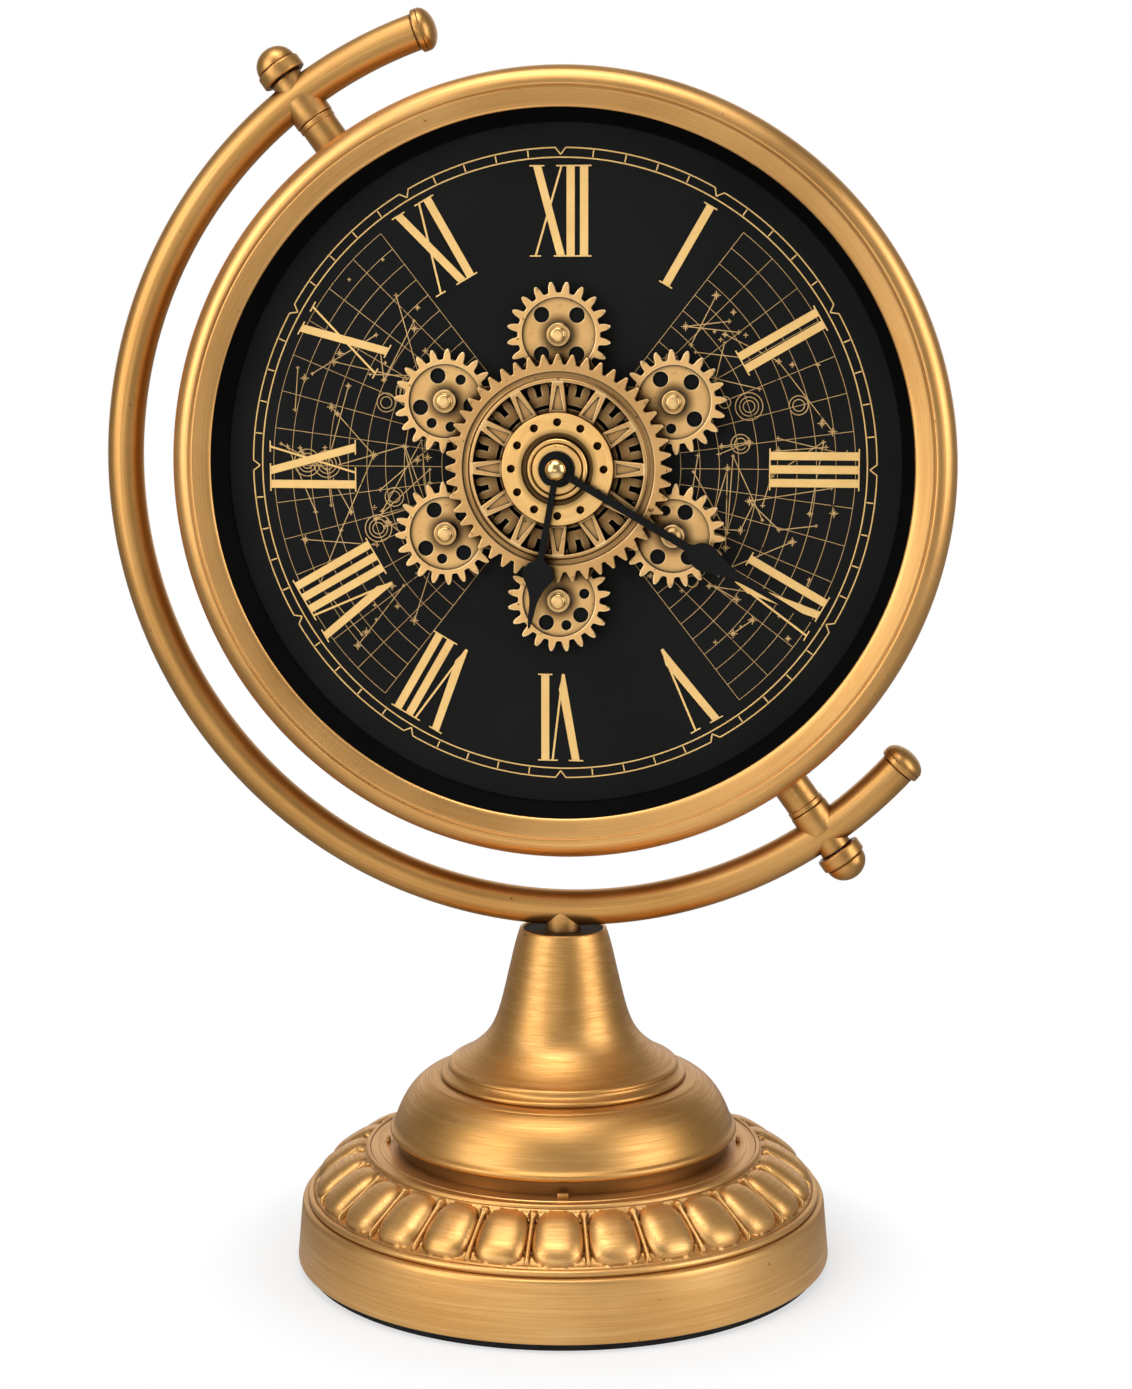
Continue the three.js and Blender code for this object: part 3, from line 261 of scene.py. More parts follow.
# the hub's ring round the crown is painted dark: painted shade in the groove
hubGold = brushedGold("hubGold", dark=(0.92, 0.53, 0.175), light=(0.98, 0.63, 0.24), fine=2600.0, along=1.6,
                      clouds=14.0, specks=900.0, streak=0.12, bump=0.02, rough=0.34, crease=0.005,
                      deep=(0.045, 0.02, 0.006), stain=(0.0112, 0.0122, 0.0128, 0.0158, 0.9))

# satin gold of the cast wheels, with small pits, painted shade in hollows and rings, and painted highlights
# on outer edges
# deep is the tone of pits, and also of the painted shade in hollows and rings
castWheel = Sizes(
    dark=(0.84, 0.465, 0.155), light=(0.95, 0.575, 0.225), bright=(0.99, 0.69, 0.34),
    deep=(0.040, 0.018, 0.006), clouds=60.0, grain=1500.0, pits=420.0, pitFrom=0.70, crease=0.0075,
    rough=0.36, bump=0.06, metal=0.95, worn=1.0, edge=0.0008, rub=(1.0, 0.78, 0.44), stain=None, shine=0.5)


def satinGold(name, centre=drumCentre, **changes):
    look = Sizes(castWheel, **changes)
    material, shader = newMaterial(name)
    coords = objectCoords(centre, drumTurn)
    clouds = noise(coords, look.clouds, 5.0, 0.6)
    grain = noise(coords, look.grain, 3.0, 0.6)
    pits = noise(coords, look.pits, 2.0, 0.45)
    tone = mixColour(between(clouds, 0.3, 0.7), look.dark, look.light)
    tone = mixColour(between(grain, 0.4, 0.75, 0, 0.3), tone, look.bright)
    spots = between(pits, look.pitFrom, look.pitFrom + 0.06, 0, 0.8)
    tone = mixColour(spots, tone, look.deep)
    # a painted highlight: outer edges, found by occlusion from inside, take a lighter tone
    if look.worn:
        edgeHighlightMask = between(occlusion(look.edge, True), 0.5, 0.92, look.worn, 0)
        tone = mixColour(edgeHighlightMask, tone, look.rub)
    # a ring of painted shade, when the look has one
    if look.stain:
        tone = mixColour(shadedRing(coords, *look.stain), tone, look.deep)
    # painted shade, partly patina: the deep tone goes where occlusion finds a hollow
    tone = mixColour(between(occlusion(look.crease), 0.52, 0.97), look.deep, tone)
    rough = between(grain, 0.3, 0.7, look.rough - 0.06, look.rough + 0.08)
    height = maths("SUBTRACT", maths("MULTIPLY", grain, 0.5), spots)
    finish(shader, tone, rough, height, look.bump, 0.0003)
    shader.inputs["Metallic"].default_value = look.metal
    shader.inputs["Specular IOR Level"].default_value = look.shine
    return material


wheelGold = satinGold("wheelGold", dark=(0.58, 0.31, 0.102), light=(0.72, 0.41, 0.152),
                      bright=(0.85, 0.55, 0.25), worn=0.8, rub=(0.98, 0.69, 0.34))
# the sun wheel behind the front wheel is a darker copy of the wheel gold: painted shade
sunShadeGold = satinGold("sunShadeGold", dark=(0.36, 0.18, 0.055), light=(0.52, 0.29, 0.10), crease=0.009)
printLook = dict(dark=(0.76, 0.47, 0.155), light=(0.88, 0.575, 0.215), rough=0.45, metal=0.1, pitFrom=0.78,
                 crease=0.001, worn=0, shine=0.12)
chartLook = dict(printLook, dark=(0.40, 0.25, 0.09), light=(0.74, 0.48, 0.20), pitFrom=0.66)
printGold = satinGold("printGold", **printLook)
chartGold = satinGold("chartGold", **chartLook)
pinGold = satinGold("pinGold", dark=(0.90, 0.55, 0.205), light=(0.99, 0.66, 0.28), rough=0.32, bump=0.0,
                    grain=260.0, pitFrom=0.9, metal=1.0, crease=0.004, worn=0)
brightBrass = satinGold("brightBrass", dark=(0.86, 0.58, 0.24), light=(0.95, 0.70, 0.34), rough=0.24,
                        bump=0.0, pitFrom=0.8, metal=1.0, worn=0)

# paint, plastic, felt and plain metal
dialPaint = Sizes(
    dark=(0.0060, 0.0060, 0.0058), light=(0.0095, 0.0095, 0.0090), bright=(0.014, 0.014, 0.0135), clouds=22.0,
    grain=2600.0, rough=0.50, bump=0.10, depth=0.0002, shine=0.07, metal=0.0)


def paintedSurface(name, **changes):
    look = Sizes(dialPaint, **changes)
    material, shader = newMaterial(name)
    coords = objectCoords()
    clouds = noise(coords, look.clouds, 4.0)
    grain = noise(coords, look.grain, 3.0, 0.6)
    tone = mixColour(between(clouds, 0.3, 0.7), look.dark, look.light)
    tone = mixColour(between(grain, 0.45, 0.8, 0, 0.35), tone, look.bright)
    rough = between(grain, 0.3, 0.7, look.rough - 0.06, look.rough + 0.06)
    finish(shader, tone, rough, grain, look.bump, look.depth)
    shader.inputs["Metallic"].default_value = look.metal
    shader.inputs["Specular IOR Level"].default_value = look.shine
    return material


dialBlack = paintedSurface("dialBlack")
reflectorBlack = paintedSurface("reflectorBlack", dark=grey(0.002), light=grey(0.003), bright=grey(0.003),
                                shine=0.02)
handBlack = paintedSurface("handBlack", dark=grey(0.005), light=grey(0.008), rough=0.38, bump=0.05,
                           shine=0.08)
# dark brown paint for the neck's top in place of gold: painted shade
wellShadeBrown = paintedSurface("wellShadeBrown", dark=(0.030, 0.016, 0.006), light=(0.050, 0.028, 0.011),
                           bright=(0.07, 0.04, 0.016), rough=0.6, shine=0.05)
plastic = dict(dark=(0.016, 0.016, 0.017), light=(0.024, 0.024, 0.025), bright=(0.04, 0.04, 0.042),
               grain=1800.0, rough=0.45, bump=0.2, shine=0.5)
blackPlastic = paintedSurface("blackPlastic", **plastic)
whiteLook = dict(plastic, dark=(0.60, 0.59, 0.56), light=(0.70, 0.69, 0.66), bright=(0.78, 0.77, 0.74),
                 rough=0.38)
whitePlastic = paintedSurface("whitePlastic", **whiteLook)
cellLook = dict(plastic, dark=(0.035, 0.05, 0.09), light=(0.05, 0.07, 0.12), bright=(0.09, 0.11, 0.17),
                rough=0.28, bump=0.05)
cellSleeve = paintedSurface("cellSleeve", **cellLook)
blackFelt = paintedSurface("blackFelt", dark=grey(0.010), light=(0.022, 0.021, 0.020),
                           bright=(0.05, 0.05, 0.048), clouds=90.0, grain=2200.0, rough=0.92, bump=0.7,
                           depth=0.0006, shine=0.2)
steel = dict(dark=(0.46, 0.46, 0.47), light=(0.60, 0.60, 0.61), bright=(0.74, 0.74, 0.75), clouds=120.0,
             grain=2400.0, rough=0.30, bump=0.08, shine=0.5, metal=1.0)
plainSteel = paintedSurface("plainSteel", **steel)
ironLook = dict(steel, dark=grey(0.05), light=(0.09, 0.085, 0.08), bright=(0.13, 0.12, 0.11), rough=0.7,
                bump=0.6, metal=0.6)
castIron = paintedSurface("castIron", **ironLook)
print("materials made")


# modelling helpers: every piece is drawn in millimetres at the origin, then put in its place
def clearSelection():
    if bpy.context.mode != "OBJECT":
        bpy.ops.object.mode_set(mode="OBJECT")
    bpy.ops.object.select_all(action="DESELECT")


def namePiece(piece, name):
    piece.name = name
    piece.data.name = name
    return piece


def startPiece(name):
    clearSelection()
    bpy.ops.mesh.primitive_plane_add(size=1)
    piece = namePiece(bpy.context.object, name)
    bpy.ops.object.mode_set(mode="EDIT")
    bpy.ops.mesh.select_all(action="SELECT")
    bpy.ops.mesh.delete(type="VERT")
    return piece


def traceLine(points):
    points = [Vector(point).to_3d() for point in points]
    bpy.ops.mesh.select_all(action="DESELECT")
    bpy.ops.mesh.primitive_plane_add(size=1)
    bpy.ops.mesh.merge(type="CENTER")
    bpy.ops.transform.translate(value=points[0])
    for here, there in zip(points, points[1:]):
        bpy.ops.mesh.extrude_region_move(TRANSFORM_OT_translate={"value": there - here})


def traceLoop(points):
    traceLine(points + points[:1])
    bpy.ops.mesh.select_linked()
    bpy.ops.mesh.remove_doubles(threshold=weld)


def traceFace(points):
    traceLoop(points)
    bpy.ops.mesh.edge_face_add()


def traceCircle(radius, sides=48, centre=(0, 0, 0)):
    bpy.ops.mesh.select_all(action="DESELECT")
    bpy.ops.mesh.primitive_circle_add(radius=radius, vertices=sides, location=centre)


def closeUp():
    bpy.ops.mesh.select_all(action="SELECT")
    bpy.ops.mesh.remove_doubles(threshold=weld)
    bpy.ops.mesh.normals_make_consistent(inside=False)
    bpy.ops.object.mode_set(mode="OBJECT")


def raiseSheet(thick):
    bpy.ops.mesh.select_all(action="SELECT")
    bpy.ops.mesh.extrude_region_move(TRANSFORM_OT_translate={"value": (0, 0, thick)})
    closeUp()


def softenEdges(piece, width):
    edges = piece.modifiers.new("softEdges", "BEVEL")
    edges.width = width
    edges.segments = 2
    edges.limit_method = "ANGLE"
    edges.angle_limit = radians(40)
    bpy.context.view_layer.objects.active = piece
    bpy.ops.object.modifier_apply(modifier="softEdges")


def cutSheet(name, outlines, thick, edge, lifted=0):
    # an outline is a list of points, or a circle as (radius, sides, centre)
    piece = startPiece(name)
    for outline in outlines:
        if isinstance(outline, tuple):
            traceCircle(*outline)
        else:
            traceLoop(outline)
    bpy.ops.mesh.select_all(action="SELECT")
    bpy.ops.mesh.fill(use_beauty=True)
    raiseSheet(thick)
    softenEdges(piece, edge)
    piece.matrix_world = lift(lifted)
    return piece


def easeCorners(points, steps=4):
    # a third number on a point rounds its corner over that length
    eased = []
    for index, point in enumerate(points):
        here = Vector(point[:2])
        ease = point[2] if len(point) > 2 else 0
        if not ease:
            eased.append(tuple(here))
            continue
        back = Vector(points[index - 1][:2]) - here
        ahead = Vector(points[(index + 1) % len(points)][:2]) - here
        start = here + back.normalized() * min(ease, 0.45 * back.length)
        end = here + ahead.normalized() * min(ease, 0.45 * ahead.length)
        for step in range(steps + 1):
            share = step / steps
            spot = start * (1 - share) ** 2 + here * 2 * share * (1 - share) + end * share ** 2
            eased.append(tuple(spot))
    return eased


def arcPoints(centre, across, up, start, end, steps):
    # part of an ellipse, angles in degrees from the direction across
    angles = [radians(start + (end - start) * step / steps) for step in range(steps + 1)]
    return [(centre[0] + across * cos(angle), centre[1] + up * sin(angle)) for angle in angles]


def boxLoop(left, right, low, high):
    return [(left, low), (right, low), (right, high), (left, high)]


def turnPiece(name, profile, steps=96):
    # a profile that starts on the axis is left open there
    piece = startPiece(name)
    points = [(across, 0, up) for across, up in easeCorners(profile)]
    traceLine(points + points[:1] if profile[0][0] > 0 else points)
    bpy.ops.mesh.select_linked()
    bpy.ops.mesh.spin(steps=steps, angle=fullTurn, center=(0, 0, 0), axis=(0, 0, 1))
    bpy.ops.mesh.select_linked()
    bpy.ops.mesh.remove_doubles(threshold=weld)
    closeUp()
    return piece


def joinPieces(first, *others):
    clearSelection()
    for piece in (first,) + others:
        piece.select_set(True)
    bpy.context.view_layer.objects.active = first
    bpy.ops.object.join()
    return first


def settle(piece, material, node, place=standPlace, body="stand", sharp=38):
    clearSelection()
    piece.select_set(True)
    bpy.context.view_layer.objects.active = piece
    piece.matrix_world = place @ piece.matrix_world
    bpy.ops.object.transform_apply(location=True, rotation=True, scale=True)
    bpy.ops.object.shade_smooth_by_angle(angle=radians(sharp))
    piece.data.materials.clear()
    piece.data.materials.append(material)
    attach(piece, body)
    if node:
        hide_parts(node)


def lift(height):
    return shift((0, 0, height))


def clockwisePoint(degrees, reach):
    return Vector((sin(radians(degrees)) * reach, cos(radians(degrees)) * reach, 0))


# foot pad
footPad = Sizes(radius=wide("foot_pad"), edge=0.7)
low, high = standSpan("foot_pad")
profile = [(0, low), (footPad.radius, low, footPad.edge), (footPad.radius, high, footPad.edge), (0, high)]
settle(turnPiece("footFelt", profile, 120), blackFelt, "foot_pad")

# plinth with its ring of gadroons
plinth = Sizes(
    bandFoot=105.6, bandTop=103.5, bandHeight=26.8, ledge=(101.1, 27.3), bead=(99.9, 28.3), beadSize=1.6,
    slopeFoot=(98.2, 30.2), slopeTop=(78.3, 45.2), rows=40, skin=6.0,
    rimTop=46.8, rimWidth=1.8, rimRise=1.0, shelf=46.2, ring=72.6, ringStep=0.3, shelfInner=61.0, wall=3.0,
    lobes=27, stepsPerLobe=32, relief=4.3, valley=0.5, turn=-90.3, crowd=0.5,
    ribHalf=1.1, ribLift=2.1, ballHalf=1.9, ballLift=2.7, ballAt=0.9, ballSpan=0.045, groove=0.07)
bandLow = standSpan("plinth_shell")[0]
footX, footZ = plinth.slopeFoot
topX, topZ = plinth.slopeTop
profile = easeCorners([
    (plinth.bandFoot - plinth.skin, bandLow), (plinth.bandFoot, bandLow, 0.9),
    (plinth.bandTop, plinth.bandHeight, 2.4), (*plinth.ledge, 0.4)])
profile += arcPoints(plinth.bead, plinth.beadSize, plinth.beadSize, -28, 128, 10)
profile.append((footX + 0.5, footZ - 0.7))
for row in range(plinth.rows + 1):
    share = row / plinth.rows
    profile.append((footX + (topX - footX) * share, footZ + (topZ - footZ) * share))
profile.append((topX + 0.1, topZ + 0.4))
rimHalf = plinth.rimWidth / 2
profile += arcPoints((topX - rimHalf, plinth.rimTop - plinth.rimRise), rimHalf, plinth.rimRise, 0, 180, 8)
ringTop, underside = plinth.shelf + plinth.ringStep, plinth.shelf - plinth.wall
profile += [
    (topX - plinth.rimWidth - 0.1, plinth.shelf), (plinth.ring + 0.3, plinth.shelf), (plinth.ring, ringTop),
    (plinth.shelfInner, ringTop), (plinth.shelfInner, underside), (topX - 4, underside),
    (footX - 4.5, footZ - 1.0), (plinth.bandFoot - plinth.skin, footZ - 6)]
piece = turnPiece("plinthGadroons", profile, plinth.lobes * plinth.stepsPerLobe)
slope = Vector((topX - footX, topZ - footZ))
slopeNormal = Vector((slope.y, -slope.x)).normalized()
sector = fullTurn / plinth.lobes


def gadroonLift(across, up, half):
    # across runs from the lobe's middle to the rib, both in millimetres
    ball = exp(-((up - plinth.ballAt) / plinth.ballSpan) ** 2)
    ribHalf = plinth.ribHalf + (plinth.ballHalf - plinth.ribHalf) * ball
    ribRise = plinth.ribLift + (plinth.ballLift - plinth.ribLift) * ball
    ends = max(0.0, 1 - (abs(up - 0.485) / 0.475) ** 16)
    rib = ribRise * sqrt(max(0.0, 1 - ((half - across) / ribHalf) ** 2)) * ends ** 0.5
    reach = half * (1 - plinth.groove)
    fullness = (across / reach) ** 2.9 + (abs(up - 0.488) / 0.478) ** 2.7
    lobe = plinth.relief * (1.12 - 0.24 * up) * max(0.0, 1 - fullness) ** 0.56
    edge = max(0.0, 1 - (abs(up - 0.485) / 0.49) ** 24)
    return max(rib, lobe) - plinth.valley * edge


for vertex in piece.data.vertices:
    angle = atan2(vertex.co.y, vertex.co.x) % fullTurn
    side = (angle / sector + 1e-6) % 1.0 * 2 - 1
    crowded = side + plinth.crowd / pi * sin(pi * side)
    reach = hypot(vertex.co.x, vertex.co.y)
    spot = Vector((reach, vertex.co.z))
    fromFoot = spot - Vector(plinth.slopeFoot)
    up = fromFoot.dot(slope) / slope.length_squared
    if abs(fromFoot.dot(slopeNormal)) < 0.01 and -0.001 <= up <= 1.001:
        half = reach * sector / 2
        spot = spot + slopeNormal * gadroonLift(abs(crowded) * half, up, half)
    turned = angle + (crowded - side) * sector / 2 + radians(plinth.turn)
    vertex.co = (spot.x * cos(turned), spot.x * sin(turned), spot.y)
settle(piece, standGold, "plinth_shell")

tabs = Sizes(size=(4.2, 1.5, 2.6), reach=69.6, turn=7.5, edge=0.35, sink=0.2)
tabSpot = (0, -tabs.reach, plinth.shelf + tabs.size[2] / 2 - tabs.sink)
crimped = []
for quarter in range(4):
    clearSelection()
    bpy.ops.mesh.primitive_cube_add(size=1, scale=tabs.size)
    tab = bpy.context.object
    bpy.ops.object.transform_apply(location=True, rotation=True, scale=True)
    softenEdges(tab, tabs.edge)
    tab.matrix_world = Matrix.Rotation(radians(tabs.turn + 90 * quarter), 4, "Z") @ shift(tabSpot)
    crimped.append(tab)
settle(namePiece(joinPieces(*crimped), "tabsCrimped"), turnedGold, "plinth_shell")

# dome on the plinth's shelf
dome = Sizes(band=65.4, bandTop=51.9, lip=(67.0, 53.6), lipSize=1.7, foot=(67.0, 55.8), top=49.6, start=30,
             ringFrom=74, ringTo=79, ringEdge=0.6, ringCut=0.18, inner=20.0, skirt=0.3, overlap=0.2)
low, high = standSpan("pedestal_dome")
core = dome.band - dome.skirt
domeAcross = (dome.foot[0] - dome.top) / cos(radians(dome.start))
domeUp = (high - dome.foot[1]) / (1 - sin(radians(dome.start)))
domeOval = ((dome.top, high - domeUp), domeAcross, domeUp)
profile = easeCorners([(dome.inner, low), (core, low), (core, dome.bandTop, 0.3)])
profile += arcPoints(dome.lip, dome.lipSize, dome.lipSize, -75, 66, 12)
profile += arcPoints(*domeOval, dome.start, dome.ringFrom, 20)
ringPoints = arcPoints(*domeOval, dome.ringFrom + dome.ringEdge, dome.ringTo - dome.ringEdge, 3)
profile += [(across, up - dome.ringCut) for across, up in ringPoints]
profile += arcPoints(*domeOval, dome.ringTo, 90, 5) + [(dome.inner, high)]
settle(turnPiece("domeTurned", profile, 160), turnedGold, "pedestal_dome")
# the band under the dome's lip gets the dark gold copy: painted shade
profile = boxLoop(core - dome.overlap, dome.band, low, dome.bandTop + dome.overlap)
settle(turnPiece("domeSkirt", profile, 160), recessShadeGold, "pedestal_dome")

# flared neck with two ridges at its foot and a well on top, painted dark brown as shade
neck = Sizes(
    flare=[(48.0, 74.4), (48.4, 75.4), (48.2, 76.4), (46.9, 77.1), (45.8, 77.8), (45.3, 78.6), (45.4, 79.5),
           (44.8, 80.3), (43.4, 80.9), (41.6, 81.9), (39.4, 83.2), (36.8, 85.0), (34.3, 87.0), (31.2, 90.0),
           (28.7, 93.4), (26.9, 97.0), (25.5, 100.8), (24.3, 105.0), (23.3, 109.0), (21.2, 118.0),
           (19.1, 127.0), (17.3, 133.2)],
    steps=4, top=17.0, rim=1.2, plate=133.2, bore=6.4, sink=0.6, wellDeep=0.3, wellRise=0.1)
low, high = standSpan("neck_cone")
profile = [(neck.bore, low - neck.sink)]
flare = [Vector(point) for point in neck.flare[:1] + neck.flare + neck.flare[-1:]]
for before, here, there, after in zip(flare, flare[1:], flare[2:], flare[3:]):
    for step in range(neck.steps):
        share = step / neck.steps
        spot = 0.5 * (2 * here + (there - before) * share
                      + (2 * before - 5 * here + 4 * there - after) * share ** 2
                      + (3 * here - before - 3 * there + after) * share ** 3)
        profile.append(tuple(spot))
rimInner = neck.top - neck.rim
profile += easeCorners([(neck.top + 0.2, high - 0.5, 0.1), (neck.top, high, 0.5), (rimInner, high, 0.4),
                        (rimInner - 0.1, neck.plate, 0.2), (neck.bore, neck.plate)])
settle(turnPiece("neckFlared", profile, 144), turnedGold, "neck_cone")
# the well is a thin sheet painted dark brown over the neck's top: painted shade
profile = boxLoop(neck.bore, rimInner - 0.2, neck.plate - neck.wellDeep, neck.plate + neck.wellRise)
settle(turnPiece("neckWell", profile), wellShadeBrown, "neck_cone")
print("pedestal modelled")

# bent arm
arm = Sizes(bend=173.0, tube=7.0, start=131.5, end=341.0, bends=150, sides=36)
piece = startPiece("armBent")
bpy.ops.mesh.primitive_circle_add(radius=arm.tube, vertices=arm.sides, location=(arm.bend, 0, 0),
                                  rotation=(pi / 2, 0, 0), fill_type="NGON")
bpy.ops.mesh.spin(steps=arm.bends, angle=radians(arm.end - arm.start), center=(0, 0, 0), axis=(0, 0, 1))
closeUp()
settle(piece, drumGold, "arm_tube", drumPlace @ Matrix.Rotation(radians(90 - arm.start), 4, "Z"))


def tubeStation(spot, side):
    # where the tube's skin lies on a line that runs outward from the dial's centre
    half = sqrt(max(0.0, arm.tube ** 2 - min(abs(spot.y), 6.88) ** 2))
    return sqrt((arm.bend + side * half) ** 2 - spot.x ** 2)


# stem between neck and arm
stem = Sizes(radius=6.9, foot=128.3, edge=0.35, shoulder=1.6, mark=150.0, press=0.25)
profile = [(0, stem.foot), (stem.radius, stem.foot), (stem.radius, stem.foot + 4), (stem.radius, stem.mark),
           (stem.radius - stem.edge, stem.mark + 0.2), (stem.radius - stem.shoulder, stem.mark),
           (0, stem.mark)]
piece = turnPiece("stemSaddled", profile, 72)
for vertex in piece.data.vertices:
    if vertex.co.z > stem.mark - 1:
        extra = vertex.co.z - stem.mark + stem.press
        vertex.co.z = dialHeight / mm - tubeStation(vertex.co, 1) + extra
settle(piece, standGold, "arm_stem")

# saddles, sleeves and finials of both pivots
pivots = {"upper": 324.0, "lower": 144.0}
saddle = Sizes(inner=7.8, radius=6.4, foot=162.2, outer=181.6, edge=0.6, chamfer=0.4, innerMark=168.0,
               outerMark=176.0, press=0.2)
sleeve = Sizes(radius=7.1, foot=143.3, top=162.0, edge=0.3, collar=7.5, collarAt=159.8)
finial = Sizes(collar=8.9, foot=181.9, shoulder=187.3, dome=8.0, top=194.6, hollow=6.6, hollowDeep=2.2)


def fitSaddle(name, profile, mark, side, node, place):
    # the end at the mark is laid on the tube's skin
    piece = turnPiece(name, profile, 64)
    for vertex in piece.data.vertices:
        if abs(vertex.co.z - mark) < 1:
            vertex.co.z = tubeStation(vertex.co, side) - side * saddle.press
    settle(piece, fittingGold, node, place)


for side, degrees in pivots.items():
    # local Z runs outward from the dial's centre, X clockwise, Y to the rear
    axes = Matrix((clockwisePoint(degrees + 90, 1), Vector((0, 0, -1)), clockwisePoint(degrees, 1)))
    place = drumPlace @ axes.transposed().to_4x4()
    mark = saddle.innerMark
    profile = [(0, saddle.foot), (saddle.inner, saddle.foot, saddle.edge), (saddle.inner, mark - 2),
               (saddle.inner, mark), (saddle.inner - saddle.chamfer, mark), (0, mark)]
    fitSaddle(side + "SaddleInner", profile, mark, -1, side + "_saddle", place)
    mark = saddle.outerMark
    profile = [(0, mark), (saddle.radius - saddle.chamfer, mark), (saddle.radius, mark),
               (saddle.radius, mark + 4), (saddle.radius, saddle.outer, saddle.edge), (0, saddle.outer)]
    fitSaddle(side + "SaddleOuter", profile, mark, 1, side + "_outer_saddle", place)
    profile = [
        (0, sleeve.foot), (sleeve.radius, sleeve.foot, 0.3), (sleeve.radius, sleeve.collarAt, 0.2),
        (sleeve.collar, sleeve.collarAt + 0.3, 0.2), (sleeve.collar, sleeve.top, sleeve.edge),
        (0, sleeve.top)]
    settle(turnPiece(side + "SleeveTurned", profile, 72), fittingGold, side + "_sleeve", place, "drum")
    hollowTop = finial.foot + finial.hollowDeep
    profile = easeCorners([
        (0, hollowTop), (finial.hollow, hollowTop, 0.3), (finial.hollow + 0.4, finial.foot, 0.4),
        (finial.collar, finial.foot, 0.7), (finial.collar, finial.shoulder - 0.5, 0.7),
        (finial.dome - 0.1, finial.shoulder - 0.3, 0.2), (finial.dome - 0.25, finial.shoulder, 0.1)])
    profile += arcPoints((0, finial.shoulder + 0.1), finial.dome,
                         finial.top - finial.shoulder - 0.1, 2, 90, 16)
    profile[-1] = (0, finial.top)
    settle(turnPiece(side + "FinialDomed", profile, 72), fittingGold, side + "_finial", place, "drum")

# caps on the arm's ends
cap = Sizes(radius=8.3, length=8.0, seam=6.1, back=0.6, band=3.0, overlap=0.6)
for side, degrees, way in (("upper", arm.end, 1), ("lower", arm.start, -1)):
    profile = easeCorners([
        (0, -cap.overlap), (cap.seam, -cap.overlap), (cap.seam, cap.back, 0.1),
        (cap.radius, cap.back, 0.8), (cap.radius, cap.band, 0.3)])
    profile += arcPoints((0, cap.band), cap.radius, cap.length - cap.band, 4, 90, 18)
    profile[-1] = (0, cap.length)
    turn = clockwisePoint(degrees + 90, way).to_track_quat("Z", "Y").to_matrix().to_4x4()
    place = drumPlace @ shift(clockwisePoint(degrees, arm.bend)) @ turn
    settle(turnPiece(side + "CapButton", profile, 72), fittingGold, "arm_cap_" + side, place)
print("arm and pivots modelled")

# case and bezel
case = Sizes(outer=143.0, inner=141.8, bead=0.9, beadRise=1.0)
rear, front = drumSpan("case_shell")
profile = [(case.inner, rear), (case.inner + 0.2, rear)]
profile += arcPoints((case.outer - 0.1, rear + case.beadRise), case.bead, case.beadRise, -90, 90, 8)
profile += [(case.outer, rear + 2.2), (case.outer, front), (case.inner, front)]
settle(turnPiece("caseRolled", profile, 180), drumGold, "case_shell", drumPlace, "drum")

bezel = Sizes(outer=150.0, inner=135.8, crest=142.6, side=4.2, step=0.75, edge=134.0, edgeFall=3.2, lip=16.6,
              seat=15.3, back=143.3)
rear, front = drumSpan("bezel_ring")
crest, stepAt, edgeAt = bezel.crest, front - bezel.step, front - bezel.edgeFall
profile = easeCorners([(bezel.back, rear), (bezel.outer - 0.2, rear, 0.8), (bezel.outer, rear + 1.5)])
profile += arcPoints((crest, rear + bezel.side), bezel.outer - crest,
                     front - rear - bezel.side, 0, 90, 22)[1:]
profile += easeCorners([
    (crest - 0.5, front, 0.25), (crest - 0.8, stepAt, 0.15), (crest - 1.5, stepAt + 0.12, 0.25),
    (bezel.edge + 1.2, edgeAt + 0.9, 1.6), (bezel.edge, edgeAt, 0.6), (bezel.inner, bezel.lip, 0.5),
    (bezel.inner, bezel.seat), (bezel.back, bezel.seat)])
settle(turnPiece("bezelRolled", profile, 216), bezelGold, "bezel_ring", drumPlace, "drum")

# black reflector and dial
reflector = Sizes(inner=129.2, outer=136.6, flange=137.5)
rear, front = drumSpan("reflector_ring")
profile = [(reflector.inner, rear, 0.2), (reflector.inner + 0.8, rear + 0.1), (reflector.outer, front, 0.2),
           (reflector.flange, front), (reflector.flange, front - 1), (reflector.inner + 1.4, rear - 0.01)]
settle(turnPiece("reflectorCone", profile, 180), reflectorBlack, "reflector_ring", drumPlace, "drum")

dialRear, dialFront = drumSpan("dial_plate")
dial = Sizes(radius=wide("dial_plate"), bore=4.6)
profile = boxLoop(dial.bore, dial.radius, dialRear, dialFront)
settle(turnPiece("dialFace", profile, 144), dialBlack, "dial_plate", drumPlace, "drum")
printPlace = drumPlace @ lift(dialFront)

# numerals stand upright to the rim
numeral = Sizes(foot=79.5, top=113.5, thick=3.1, thin=0.78, serif=0.5, overhang=1.25, rise=0.22, sink=0.02,
                barStep=5.1, lean=9.2, point=0.35, notch=6.0, layer=0.012, crossTop=0.2, crossFoot=0.6)
words = ["XII", "I", "II", "III", "IV", "V", "VI", "VII", "VIII", "IX", "X", "XI"]


def barStroke(topAt, footAt, width):
    half = width / 2
    return [(footAt - half, numeral.foot), (footAt + half, numeral.foot),
            (topAt + half, numeral.top), (topAt - half, numeral.top)]


def serifStroke(at, width, way):
    half = width / 2 + numeral.overhang
    level = numeral.foot if way > 0 else numeral.top
    deep = level + numeral.serif * way
    return [(at - half, level), (at + half, level), (at + half, deep), (at - half, deep)]


